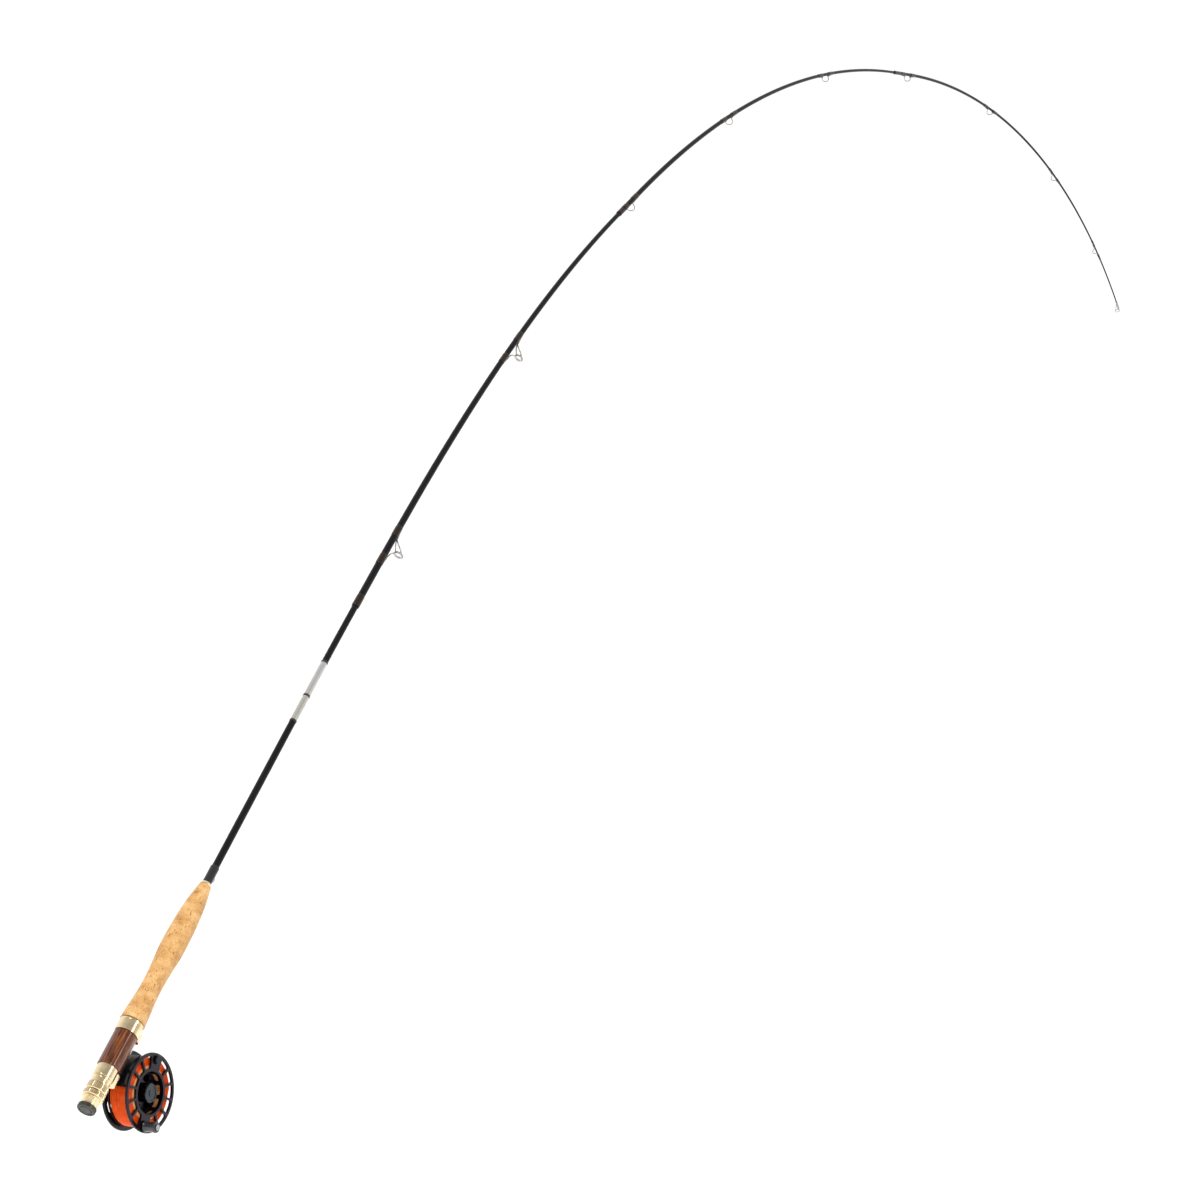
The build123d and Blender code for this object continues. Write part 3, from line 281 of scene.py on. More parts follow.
def rosewood():
    """Dark streaked wood with open pores, under clear varnish."""
    made = Finish("rosewood", Coat_Weight=1.0, Coat_Roughness=0.03, Coat_IOR=1.5, Specular_IOR_Level=0.08)
    along = made.place(HANDLE_TURN, (0.11, 1, 1))
    figure = made.noise(along, 210, 6, 0.6, 1.4)
    streaks = made.noise(made.place(HANDLE_TURN, (0.035, 1, 1)), 900, 5, 0.65)
    tone = made.ramp(
        figure, (0.34, (0.045, 0.010, 0.002)), (0.46, (0.14, 0.034, 0.007)),
        (0.58, (0.24, 0.066, 0.014)), (0.72, (0.38, 0.125, 0.030)),
    )
    pores = made.ramp(streaks, (0.40, (0.16, 0.10, 0.08)), (0.56, (1, 1, 1)))
    made.feed("Base Color", made.mix(0.85, tone, pores, "MULTIPLY"))
    made.feed("Roughness", made.span(streaks, 0.42, 0.24))
    made.feed("Normal", made.bump(streaks, 0.00004, 0.35))
    return made.material


def cork():
    """Cork in patches and grains, with dark flecks, and darker where the mesh is pitted."""
    made = Finish("cork", Specular_IOR_Level=0.28, Sheen_Weight=0.15, Sheen_Roughness=0.5)
    place = made.place(HANDLE_TURN)
    patches = made.noise(place, 75, 5, 0.6, 0.4)
    grains = made.noise(made.place(HANDLE_TURN, (0.55, 1, 1)), 620, 5, 0.7)
    body = made.ramp(
        made.mix(0.35, patches, grains), (0.36, (0.49, 0.235, 0.070)), (0.50, (0.66, 0.37, 0.135)),
        (0.64, (0.80, 0.51, 0.225)),
    )
    cells = made.node("TexVoronoi", {"Vector": place, "Scale": 900.0}).outputs["Distance"]
    cell_tone = made.ramp(cells, (0.05, (0.80, 0.72, 0.62)), (0.5, (1, 1, 1)))
    body = made.mix(0.7, body, cell_tone, "MULTIPLY")
    flecks = made.noise(made.place(HANDLE_TURN, (0.45, 1, 1)), 420, 4, 0.6, 0.8)
    fleck_mask = made.ramp(flecks, (0.62, (0, 0, 0)), (0.70, (1, 1, 1)))
    body = made.mix(made.math("MULTIPLY", fleck_mask, 0.55), body, (0.17, 0.07, 0.025, 1))
    pits = made.node("Attribute", attribute_name="pit").outputs["Fac"]
    body = made.mix(pits, body, (0.10, 0.042, 0.016, 1))
    made.feed("Base Color", body)
    made.feed("Roughness", made.span(grains, 0.66, 0.9))
    height = made.math("ADD", made.math("MULTIPLY", grains, 0.7), made.math("MULTIPLY", cells, 0.5))
    made.feed("Normal", made.bump(height, 0.00022, 0.55))
    return made.material


def carbon():
    """Woven scrim and long fibres under a deep clear coat. The mesh's UVs are (s, turn)."""
    made = Finish(
        "carbon_blank", Coat_Weight=0.6, Coat_Roughness=0.05, Coat_IOR=1.32, Specular_IOR_Level=0.03,
    )
    uv = made.node("UVMap").outputs["UV"]
    split = made.node("SeparateXYZ", {"Vector": uv})
    s, turn = split.outputs[0], split.outputs[1]
    warp = made.math("MULTIPLY", turn, 24.0)
    weave = None
    for sign in (1.0, -1.0):
        phase = made.math("ADD", made.math("MULTIPLY", s, 0.9), made.math("MULTIPLY", warp, sign))
        wave = made.math("PINGPONG", phase, 0.5)
        weave = wave if weave is None else made.math("MAXIMUM", weave, wave)
    fibre = made.noise(made.node("Mapping", {"Vector": uv, "Scale": (0.02, 60, 1)}).outputs[0], 3.0, 4)
    tone = made.mix(0.5, weave, fibre)
    made.feed("Base Color", made.ramp(tone, (0.15, (0.003, 0.003, 0.0035)), (0.55, (0.010, 0.010, 0.012))))
    made.feed("Roughness", made.span(tone, 0.46, 0.26))
    made.feed("Normal", made.bump(weave, 0.00003, 0.35))
    ripple = made.noise(made.place(), 160, 2)
    made.feed("Coat Normal", made.bump(ripple, 0.00002, 0.25))
    return made.material


THREAD_PITCH = 0.17


def thread(name, dark, bright):
    """Close turns of fine thread under glossy clear finish. The mesh's UVs are (s, turn)."""
    made = Finish(name, Coat_Weight=1.0, Coat_Roughness=0.05, Coat_IOR=1.36, Specular_IOR_Level=0.06)
    uv = made.node("UVMap").outputs["UV"]
    split = made.node("SeparateXYZ", {"Vector": uv})
    lay = made.math("ADD", made.math("DIVIDE", split.outputs[0], THREAD_PITCH), split.outputs[1])
    turns = made.math("PINGPONG", lay, 0.5)
    lint = made.noise(made.node("Mapping", {"Vector": uv, "Scale": (5, 16, 1)}).outputs[0], 3.0, 3)
    tone = made.mix(0.35, turns, lint)
    made.feed("Base Color", made.ramp(tone, (0.08, dark), (0.45, bright)))
    made.feed("Roughness", made.span(lint, 0.35, 0.6))
    made.feed("Normal", made.bump(turns, 0.00006, 0.7))
    made.feed("Coat Normal", made.bump(made.noise(made.place(), 420, 2), 0.00004, 0.3))
    return made.material


BAND_WARMTH = (520, 560)  # the band's tone cools between these places


def lacquered_band():
    """Metallic lacquer: a flake sparkle and a warmer lower end."""
    made = Finish("champagne_band", Metallic=0.75, Coat_Weight=0.8, Coat_Roughness=0.06)
    uv = made.node("UVMap").outputs["UV"]
    s = made.node("SeparateXYZ", {"Vector": uv}).outputs[0]
    place = made.place()
    flake = made.node("TexVoronoi", {"Vector": place, "Scale": 5200.0}).outputs["Distance"]
    warm = made.ramp(made.span(s, 0, 1, *BAND_WARMTH), (0.0, (0.62, 0.60, 0.53)), (1.0, (0.66, 0.65, 0.63)))
    glint = made.ramp(flake, (0.1, (1, 1, 1)), (0.7, (0.80, 0.80, 0.80)))
    made.feed("Base Color", made.mix(1.0, warm, glint, "MULTIPLY"))
    made.feed("Roughness", made.span(flake, 0.22, 0.42))
    made.feed("Normal", made.bump(flake, 0.00001, 0.4))
    return made.material


def coated_line():
    """The smooth plastic coat of a fly line, faintly dusty."""
    made = Finish("orange_line", Specular_IOR_Level=0.25, Subsurface_Weight=0.08)
    made.shader.inputs["Subsurface Radius"].default_value = (0.9, 0.3, 0.1)
    made.shader.inputs["Subsurface Scale"].default_value = 0.0006
    place = made.place()
    cloud = made.noise(place, 140, 4)
    made.feed("Base Color", made.ramp(cloud, (0.3, (0.68, 0.060, 0.0005)), (0.7, (0.90, 0.115, 0.002))))
    grain = made.noise(place, 3800, 3)
    made.feed("Roughness", made.span(grain, 0.34, 0.52))
    made.feed("Normal", made.bump(grain, 0.00001, 0.4))
    return made.material


def braid():
    """The backing's plaited strands."""
    made = Finish("backing", Sheen_Weight=0.3)
    place = made.place()
    strands = made.node("TexWave", {"Vector": place, "Scale": 900.0, "Distortion": 3.0}).outputs["Fac"]
    made.feed("Base Color", made.ramp(strands, (0.2, (0.76, 0.25, 0.06)), (0.8, (0.98, 0.46, 0.17))))
    made.feed("Roughness", made.span(strands, 0.9, 0.7))
    made.feed("Normal", made.bump(strands, 0.0001, 0.7))
    return made.material


GOLD = (0.84, 0.65, 0.37), (0.97, 0.82, 0.55)
FOAM_BUFF = (0.60, 0.56, 0.44), (0.78, 0.74, 0.62)
GUIDE_STEEL = (0.30, 0.28, 0.25), (0.46, 0.435, 0.40)
# The foot's aluminium colour carries a pink cast, which is a painted reflection of warm orange light.
FOOT_ALUMINIUM_AND_REFLECTION = (0.60, 0.52, 0.49), (0.76, 0.67, 0.63)
# The anodised blacks are the metal's own black plus a painted sheen: their faint purple cast, lighter and
# more violet in the spool's, stands in for the violet sheen of light on the metal.
FRAME_BLACK_AND_SHEEN = (0.010, 0.0095, 0.012), (0.020, 0.018, 0.024)
SPOOL_BLACK_AND_SHEEN = (0.012, 0.0105, 0.015), (0.025, 0.021, 0.032)
# The hub cap's slate blue-grey is a painted highlight over black anodising.
CAP_BLACK_AND_HIGHLIGHT = (0.040, 0.050, 0.056), (0.065, 0.078, 0.086)
finishes = {
    "pewter": turned_metal("pewter", (0.066, 0.064, 0.056), (0.105, 0.102, 0.090), 0.30, 0.22, HANDLE_TURN),
    "gold_metal": turned_metal("gold_metal", *GOLD, 0.16, 0.16, HANDLE_TURN),
    "foam_arbor": moulded("foam_arbor", *FOAM_BUFF, 0.9, scale=2400, bump=0.0003),
    "rosewood": rosewood(),
    "cork": cork(),
    "carbon_blank": carbon(),
    "guide_metal": turned_metal("guide_metal", *GUIDE_STEEL, 0.2, 0.2, HANDLE_TURN),
    "black_thread": thread("black_thread", (0.006, 0.006, 0.006), (0.028, 0.028, 0.030)),
    "brown_thread": thread("brown_thread", (0.005, 0.0025, 0.0015), (0.026, 0.011, 0.0055)),
    "champagne_band": lacquered_band(),
    "dark_trim": thread("dark_trim", (0.010, 0.008, 0.008), (0.050, 0.040, 0.038)),
    "foot_metal": turned_metal("foot_metal", *FOOT_ALUMINIUM_AND_REFLECTION, 0.24, 0.3, HANDLE_TURN),
    "steel": turned_metal("steel", (0.30, 0.30, 0.31), (0.44, 0.44, 0.45), 0.24, 0.12, axis="Y"),
    "black_anodised": blasted_metal("black_anodised", *FRAME_BLACK_AND_SHEEN, 0.30, 0.1),
    "spool_anodised": blasted_metal("spool_anodised", *SPOOL_BLACK_AND_SHEEN, 0.27, 0.12),
    "cap_anodised": turned_metal("cap_anodised", *CAP_BLACK_AND_HIGHLIGHT, 0.25, 0.3, axis="Y"),
    "knob_slate": moulded("knob_slate", (0.013, 0.016, 0.017), (0.030, 0.035, 0.037), 0.2, coat=0.35),
    "carbon_washer": moulded("carbon_washer", (0.02, 0.02, 0.02), (0.05, 0.05, 0.05), 0.6),
    "brass": turned_metal("brass", (0.62, 0.45, 0.18), (0.80, 0.62, 0.30), 0.22, 0.12, axis="Y"),
    "backing": braid(),
    "orange_line": coated_line(),
    "seal_rubber": moulded("seal_rubber", (0.012, 0.012, 0.012), (0.03, 0.03, 0.03), 0.55),
    "ring_ceramic": moulded("ring_ceramic", (0.48, 0.46, 0.44), (0.66, 0.64, 0.62), 0.12, coat=0.6),
}
for row in frame["record"]["subparts"]:
    slots = frame["nodes"][row["node"]].data.materials
    slots.clear()
    slots.append(finishes[row["material_slot"]])


# ---------------------------------------------------------------- mesh building
def skin(name, rings, slot, body, marks=None, loop=False, sharp=40):
    """A closed mesh through rings of points. Its UVs are (mark, turn)."""
    count = len(rings[0])
    marks = marks or list(range(len(rings)))
    spans = len(rings) if loop else len(rings) - 1
    mesh = bmesh.new()
    uv_layer = mesh.loops.layers.uv.new("UVMap")
    rows = [[mesh.verts.new(point * MM) for point in ring] for ring in rings]
    for span in range(spans):
        following = (span + 1) % len(rings)
        low, high = rows[span], rows[following]
        for number in range(count):
            after = (number + 1) % count
            face = mesh.faces.new((low[number], low[after], high[after], high[number]))
            turns = (number / count, (number + 1) / count)
            corners = ((span, turns[0]), (span, turns[1]), (following, turns[1]), (following, turns[0]))
            for corner, (ring, turn) in zip(face.loops, corners):
                corner[uv_layer].uv = (marks[ring], turn)
    if not loop:
        for row, mark in ((rows[0], marks[0]), (rows[-1], marks[-1])):
            face = mesh.faces.new(row)
            for number, corner in enumerate(face.loops):
                corner[uv_layer].uv = (mark, number / count)
    bmesh.ops.recalc_face_normals(mesh, faces=mesh.faces)
    data = bpy.data.meshes.new(name)
    mesh.to_mesh(data)
    mesh.free()
    data.shade_smooth()
    data.set_sharp_from_angle(angle=math.radians(sharp))
    piece = bpy.data.objects.new(name, data)
    bpy.context.scene.collection.objects.link(piece)
    data.materials.append(finishes[slot])
    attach(piece, body)
    return piece


def stations(start, end, step):
    """Even steps from start to end, none longer than the step."""
    count = max(1, math.ceil(abs(end - start) / step))
    return [start + (end - start) * number / count for number in range(count + 1)]


def smooth_path(points, steps=6):
    """A Catmull-Rom curve through points."""
    ends = [points[0] * 2 - points[1], *points, points[-1] * 2 - points[-2]]
    path = []
    for before, low, high, after in zip(ends, ends[1:], ends[2:], ends[3:]):
        for number in range(steps):
            t = number / steps
            path.append(
                0.5 * (2 * low + (high - before) * t + (2 * before - 5 * low + 4 * high - after) * t**2
                       + (3 * low - before - 3 * high + after) * t**3)
            )
    return [*path, points[-1]]


def tube(name, path, radius, slot, body, count=12, flat=None, closed=False):
    """A wire along a path. flat(share) gives a direction and the wire's scales along and across it."""
    rings = []
    marks = [0.0]
    normal = None
    total = len(path)
    for number, point in enumerate(path):
        before = path[(number - 1) % total] if closed else path[max(number - 1, 0)]
        after = path[(number + 1) % total] if closed else path[min(number + 1, total - 1)]
        direction = (after - before).normalized()
        if normal is None:
            normal = direction.orthogonal().normalized()
        normal = (normal - direction * normal.dot(direction)).normalized()
        side = direction.cross(normal)
        ring = []
        for angle in turn_angles(count):
            offset = (normal * math.cos(angle) + side * math.sin(angle)) * radius
            if flat:
                up, height, width = flat(number / (total - 1))
                lift = up * offset.dot(up)
                offset = lift * height + (offset - lift) * width
            ring.append(point + offset)
        rings.append(ring)
        if number:
            marks.append(marks[-1] + (point - path[number - 1]).length)
    return skin(name, rings, slot, body, marks, loop=closed)


# ---------------------------------------------------------------- blanks
BLANK_BODIES = ("handle", "second_section", "third_section", "tip_section")
BLANK_NODES = ("blank_butt", "blank_second", "blank_third", "blank_tip")
BLANK_SIDES = 32


def make_blank(section):
    """One tube with its wall: a socket at its lower end, over the section before."""
    radius = blank_radius(section)
    start = SECTION_STARTS[section] if section else BLANK_START
    end = min(SECTION_STARTS[section] + SECTION_LENGTH, ROD_LENGTH)
    wall = BLANK_WALLS[section]
    outside = [(s, radius(s)) for s in stations(start, end, 5)]
    inside = [(s, radius(s) - wall) for s in stations(end, start, 12)]
    if section:
        male = blank_radius(section - 1)
        depth = start + FERRULE_OVERLAPS[section - 1]
        inside = [(s, r) for s, r in inside if s > depth]
        inside += [(depth, radius(depth) - wall)]
        inside += [(s, male(s) + FERRULE_PLAY) for s in stations(depth, start, 12)]
    profile = outside + inside
    piece = skin(
        BLANK_NODES[section].replace("blank", "tube"),
        [rod_ring(s, r, BLANK_SIDES) for s, r in profile],
        "carbon_blank", BLANK_BODIES[section], [s for s, _ in profile], loop=True,
    )
    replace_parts(piece, BLANK_NODES[section])


for section in range(len(BLANK_NODES)):
    make_blank(section)


# ---------------------------------------------------------------- thread wrappings
def tented(blank, coat, foot_height, foot_half):
    """A wrapping's outline: taut from the blank over a guide's foot, as the angle's function."""
    outer = blank + coat
    nose = foot_half + coat
    reach = blank + foot_height - foot_half
    if reach + nose <= outer + 0.02:
        return outer
    tangent = math.acos(max(-1.0, min(1.0, (outer - nose) / reach)))
    nose_angle = math.atan2(nose * math.sin(tangent), reach + nose * math.cos(tangent))

    def outline(angle):
        turn = abs((angle + math.pi) % (2 * math.pi) - math.pi)
        if turn >= tangent:
            return outer
        if turn >= nose_angle:
            return outer / math.cos(tangent - turn)
        return reach * math.cos(turn) + math.sqrt(max(0.0, nose**2 - (reach * math.sin(turn)) ** 2))

    return outline


SLEEVE_SIDES = 40
SLEEVE_GAP = 0.01
WRAP_STEP = 0.55
WRAP_LIP = 1.5
WRAP_EDGE = 0.03
WRAP_COAT = 0.34
FOOT_GAP = 0.06
FOOT_GRIND = 1.3  # a guide's foot thins by this power of the way to its toe


def rounded(share):
    """A quarter circle's rise, from 0 at the edge to 1."""
    return math.sqrt(max(0.0, 1 - (1 - min(share, 1.0)) ** 2))


def make_wrap(name, start, end, radius, slot, body, foot=None, coat=WRAP_COAT, turn=0.0):
    """Thread under finish. foot(s) gives the (height, half thickness) of the foot beneath."""
    rings = []
    marks = []
    for s in stations(start, end, WRAP_STEP):
        depth = WRAP_EDGE + (coat - WRAP_EDGE) * rounded(min(s - start, end - s) / WRAP_LIP)
        height, half = foot(s) if foot else (0.0, 0.0)
        shape = tented(radius(s), depth, height, half) if height else radius(s) + depth
        rings.append(rod_ring(s, shape, SLEEVE_SIDES, turn))
        marks.append(s)
    for s in stations(end, start, 3):
        rings.append(rod_ring(s, radius(s) + SLEEVE_GAP, SLEEVE_SIDES, turn))
        marks.append(s)
    return skin(name, rings, slot, body, marks, loop=True, sharp=60)


def foot_taper(heel, toe, wire, blunt=0.12):
    """The foot's (height, half thickness) from its round heel to its ground, flat toe."""

    def measure(s):
        share = (s - heel) / (toe - heel)
        if share > 1:
            return 0.0, 0.0
        thick = 2 * wire * (1 - (1 - blunt) * max(0.0, share) ** FOOT_GRIND)
        return thick + FOOT_GAP, thick / 2

    return measure


HEEL_BARE = 0.8
TOE_COVER = 3.0
SOCKET_LIP = 0.6
FERRULE_WRAP = 15.0


def wrap_pair(place, section, reach, foot_length, wire, name):
    """The two wrappings over one guide's feet."""
    made = []
    for side, label in ((-1, "low"), (1, "high")):
        heel = place + side * reach
        toe = place + side * (reach + foot_length)
        near = heel + side * HEEL_BARE
        far = toe + side * TOE_COVER
        foot = foot_taper(heel, toe, wire)
        made.append(make_wrap(f"{name}_{label}", min(near, far), max(near, far), blank_radius(section),
                              "brown_thread", BLANK_BODIES[section], foot, turn=SECTION_TURNS[section]))
    return made


def finish_wraps(section, node, pieces):
    """Adds the wrapping that stops a socket from splitting. All of a section's stand for the node."""
    start = SECTION_STARTS[section] + SOCKET_LIP
    pieces.append(make_wrap(f"ferrule_wrap_{section}", start, start + FERRULE_WRAP, blank_radius(section),
                            "brown_thread", BLANK_BODIES[section]))
    for piece in pieces:
        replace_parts(piece, node)


STRIPPING_WIRE = 0.75
STRIPPING_FOOT = 11.0
SNAKE_WIRE = 0.5
SNAKE_REACH = 6.0
SNAKE_FOOT = 9.0
second_wraps = []
for number, (place, _, _, reach) in enumerate(STRIPPING_GUIDES):
    second_wraps += wrap_pair(place, 1, reach, STRIPPING_FOOT, STRIPPING_WIRE,
                              f"stripping_wrap_{number + 1}")
finish_wraps(1, "wraps_second", second_wraps)
for section, places, node in ((2, THIRD_GUIDES, "wraps_third"), (3, TIP_GUIDES, "wraps_tip")):
    snake_wraps = []
    for number, place in enumerate(places):
        snake_wraps += wrap_pair(place, section, SNAKE_REACH, SNAKE_FOOT, SNAKE_WIRE,
                                 f"snake_wrap_{section}{number + 1}")
    finish_wraps(section, node, snake_wraps)

KEEPER_WRAP_LOW = GRIP_END + 3.7
KEEPER_WRAP_HIGH = GRIP_END + 25.2
KEEPER_COAT = 0.9
keeper = make_wrap("keeper_winding", KEEPER_WRAP_LOW, KEEPER_WRAP_HIGH, blank_radius(0), "black_thread",
                   "handle", coat=KEEPER_COAT)
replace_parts(keeper, "keeper_wrap")


# ---------------------------------------------------------------- label band and its trims
COLLAR_EDGE = 0.02
BAND_RISE = 0.16
BAND_ROUNDING = 0.3
TRIM_RISE = 0.38
TRIM_ROUNDING = 0.8
TRIM_LENGTH = 2.6


def make_collar(name, start, end, rise, slot, rounding):
    """A thin sleeve on the butt blank with rounded ends."""
    radius = blank_radius(0)
    profile = []
    for s in stations(start, end, min(4.0, (end - start) / 8)):
        swell = rounded(min(s - start, end - s) / rounding)
        profile.append((s, radius(s) + COLLAR_EDGE + (rise - COLLAR_EDGE) * swell))
    profile += [(s, radius(s) + SLEEVE_GAP) for s in stations(end, start, 4)]
    return skin(name, [rod_ring(s, r, SLEEVE_SIDES) for s, r in profile], slot, "handle",
                [s for s, _ in profile], loop=True)


for name, start, end in (("band_low", 505.0, 536.4), ("band_high", 539.2, 582.9)):
    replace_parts(make_collar(name, start, end, BAND_RISE, "champagne_band", BAND_ROUNDING), "label_band")
for name, start in (("trim_low", 502.4), ("trim_middle", 536.5), ("trim_high", 583.0)):
    trim = make_collar(name, start, start + TRIM_LENGTH, TRIM_RISE, "dark_trim", TRIM_ROUNDING)
    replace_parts(trim, "band_trims")


# ---------------------------------------------------------------- guides
FOOT_REST = 0.08
SNAKE_HEIGHTS = (6.6, 4.8)  # at the first and the last snake guide
SNAKE_BOW = 0.52  # the loop's reach to each side, as a share of its height


def foot_flatness(place, reach, foot_length, blunt=0.3, spread=0.45):
    """How a wire's section is pressed towards the blank along its feet, by place on the rod."""

    def flat(s):
        press = max(0.0, min(1.0, (abs(s - place) - reach) / foot_length))
        return 1 - (1 - blunt) * press**FOOT_GRIND, 1 + spread * press

    return flat


def snake_guide(place, section, name):
    """One bent wire: a foot, a loop over to one side, across the top and down the other."""
    radius = blank_radius(section)
    tallest, lowest = SNAKE_HEIGHTS
    height = tallest - (tallest - lowest) * (place - THIRD_GUIDES[0]) / (TIP_GUIDES[-1] - THIRD_GUIDES[0])
    side = SNAKE_BOW * height
    lift = SNAKE_WIRE + FOOT_REST
    top = radius(place) + lift + height
    low_heel, high_heel = place - SNAKE_REACH, place + SNAKE_REACH
    low_toe, high_toe = low_heel - SNAKE_FOOT, high_heel + SNAKE_FOOT
    route = [
        (low_toe, radius(low_toe) + 0.18, 0),
        (low_heel - 3, radius(low_heel) + lift, 0),
        (low_heel, radius(low_heel) + lift + 0.05, 0),
        (place - 4.2, radius(place) + lift + 0.16 * height, 0.45 * side),
        (place - 2.4, radius(place) + lift + 0.50 * height, 0.98 * side),
        (place - 1.0, radius(place) + lift + 0.86 * height, 0.82 * side),
        (place, top, 0),
        (place + 1.0, radius(place) + lift + 0.86 * height, -0.82 * side),
        (place + 2.4, radius(place) + lift + 0.50 * height, -0.98 * side),
        (place + 4.2, radius(place) + lift + 0.16 * height, -0.45 * side),
        (high_heel, radius(high_heel) + lift + 0.05, 0),
        (high_heel + 3, radius(high_heel) + lift, 0),
        (high_toe, radius(high_toe) + 0.18, 0),
    ]
    path = smooth_path([rod_point(*stop) for stop in route], 7)
    pressed = foot_flatness(place, SNAKE_REACH, SNAKE_FOOT)
    reach_total = SNAKE_REACH + SNAKE_FOOT
    centre, out_way, _, up_rod = rod_frame(place)

    def flat(share):
        point = path[round(share * (len(path) - 1))]
        s = place + max(-reach_total, min(reach_total, (point - centre).dot(up_rod)))
        thin, wide = pressed(s)
        return out_way, thin, wide

    return tube(name, path, SNAKE_WIRE, "guide_metal", BLANK_BODIES[section], 12, flat)


for section, places, node in ((2, THIRD_GUIDES, "snake_guides_third"), (3, TIP_GUIDES, "snake_guides_tip")):
    for number, place in enumerate(places):
        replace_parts(snake_guide(place, section, f"snake_guide_{section}{number + 1}"), node)


RING_WIRE = 0.68
INSERT_STEP = 0.42
LEG_WIRE = STRIPPING_WIRE * 0.92


def stripping_guide(number):
    """A standing ring on two legs up the rod and one down it, each ground to a flat foot."""
    place, ring_height, ring_radius, reach = STRIPPING_GUIDES[number]
    radius = blank_radius(1)
    lift = STRIPPING_WIRE + FOOT_REST
    node = f"stripping_guide_{number + 1}"
    frame_radius = ring_radius + INSERT_STEP
    turn = SECTION_TURNS[1]
    centre, out_way, _, up_rod = rod_frame(place, turn)
    circle = standing_ring(place, ring_height, frame_radius, 48, turn)
    pieces = [tube(f"{node}_ring", circle, RING_WIRE, "guide_metal", BLANK_BODIES[1], 14, closed=True)]
    pressed = foot_flatness(place, reach, STRIPPING_FOOT)

    def leg(name, stops):
        path = smooth_path([rod_point(*stop, turn) for stop in stops], 7)

        def flat(share):
            point = path[round(share * (len(path) - 1))]
            thin, wide = pressed(place + (point - centre).dot(up_rod))
            return out_way, thin, wide

        pieces.append(tube(name, path, LEG_WIRE, "guide_metal", BLANK_BODIES[1], 12, flat))

    for side, label in ((-1, "left"), (1, "right")):
        heel = place + reach
        toe = heel + STRIPPING_FOOT
        leg(f"{node}_leg_{label}", [
            (toe, radius(toe) + 0.2, 0.10 * side),
            (heel + 4, radius(heel) + lift, 0.16 * side),
            (heel, radius(heel) + lift + 0.15, 0.35 * side),
            (place + 0.62 * reach, radius(place) + lift + 0.22 * ring_height, side * 0.45 * frame_radius),
            (place + 0.28 * reach, ring_height - 0.55 * frame_radius, side * 0.80 * frame_radius),
            (place + 0.3, ring_height - 0.1 * frame_radius, side * 0.985 * frame_radius),
            (place, ring_height + 0.3 * frame_radius, side * 0.95 * frame_radius),
        ])
    heel = place - reach
    toe = heel - STRIPPING_FOOT
    leg(f"{node}_leg_low", [
        (toe, radius(toe) + 0.2, 0),
        (heel - 4, radius(heel) + lift, 0),
        (heel, radius(heel) + lift + 0.12, 0),
        (place - 0.55 * reach, radius(place) + lift + 0.10 * ring_height, 0),
        (place - 0.15 * reach, ring_height - frame_radius - 0.6, 0),
        (place, ring_height - frame_radius + 0.2, 0),
    ])
    for piece in pieces:
        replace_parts(piece, node)


for number in range(len(STRIPPING_GUIDES)):
    stripping_guide(number)

TIP_TUBE_LENGTH = 11.0
TIP_TUBE_CAP = 0.6
TIP_TUBE_RADII = (1.34, 1.22)
TIP_TUBE_GAP = 0.03
TIP_RING_HEIGHT = 4.3
TIP_RING_RADIUS = 2.87
TIP_RING_WIRE = 0.38
TIP_STRUT_WIRE = 0.36


def tip_guide():
    """The loop at the very tip: a tapered tube with a round wire ring braced to it."""
    slope = blank_radius(3)
    start = ROD_LENGTH - TIP_TUBE_LENGTH
    end = ROD_LENGTH + TIP_TUBE_CAP
    wide, narrow = TIP_TUBE_RADII
    profile = [(start, slope(start) + 0.08), (start + 0.4, wide - 0.02)]
    profile += [
        (s, wide - (wide - narrow) * (s - start) / (end - start))
        for s in stations(start + 1, end - 0.4, 1.5)
    ]
    profile += [(end, 0.85), (end, 0.3)]
    profile += [(ROD_LENGTH + 0.05, 0.3), (ROD_LENGTH + 0.05, slope(ROD_LENGTH) + TIP_TUBE_GAP)]
    profile += [(s, slope(s) + TIP_TUBE_GAP) for s in stations(ROD_LENGTH, start, 4)]
    pieces = [skin("tip_top_tube", [rod_ring(s, r, 28) for s, r in profile], "guide_metal",
                   "tip_section", [s for s, _ in profile], loop=True)]
    circle = standing_ring(ROD_LENGTH, TIP_RING_HEIGHT, TIP_RING_RADIUS, 40)
    pieces.append(tube("tip_top_ring", circle, TIP_RING_WIRE, "guide_metal", "tip_section", 12, closed=True))
    for side, label in ((-1, "left"), (1, "right")):
        path = smooth_path([
            rod_point(ROD_LENGTH - 8.5, 1.15, 0.62 * side), rod_point(ROD_LENGTH - 6.5, 1.45, 0.95 * side),
            rod_point(ROD_LENGTH - 3, 2.9, 2.0 * side), rod_point(ROD_LENGTH - 0.3, 4.2, 2.82 * side),
            rod_point(ROD_LENGTH, 4.9, 2.80 * side),
        ], 6)
        pieces.append(tube(f"tip_top_strut_{label}", path, TIP_STRUT_WIRE, "guide_metal", "tip_section", 10))
    for piece in pieces:
        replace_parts(piece, "tip_top")


tip_guide()


# ---------------------------------------------------------------- cork grip
GRIP_OUTLINE = (
    (GRIP_START, 13.3), (122, 12.5), (140, 11.1), (158, 10.5), (178, 11.2), (197, 12.6), (212, 12.8),
    (232, 12.2), (250, 11.1), (268, 9.1), (GRIP_END, 6.3),
)
GRIP_BORE = 4.4
GRIP_SIDES = 168
PORE_DEPTH = 0.28
PORE_SCALES = (0.24, 0.62)  # the noise's scales along the grip and round it
PORE_LEVEL = 0.52
PORE_SOFTNESS = 0.16
GLUE_GROOVE = 0.05
GROOVE_WIDTH = 0.28
GLUE_DARKNESS = 0.22
GLUE_WIDTH = 0.22


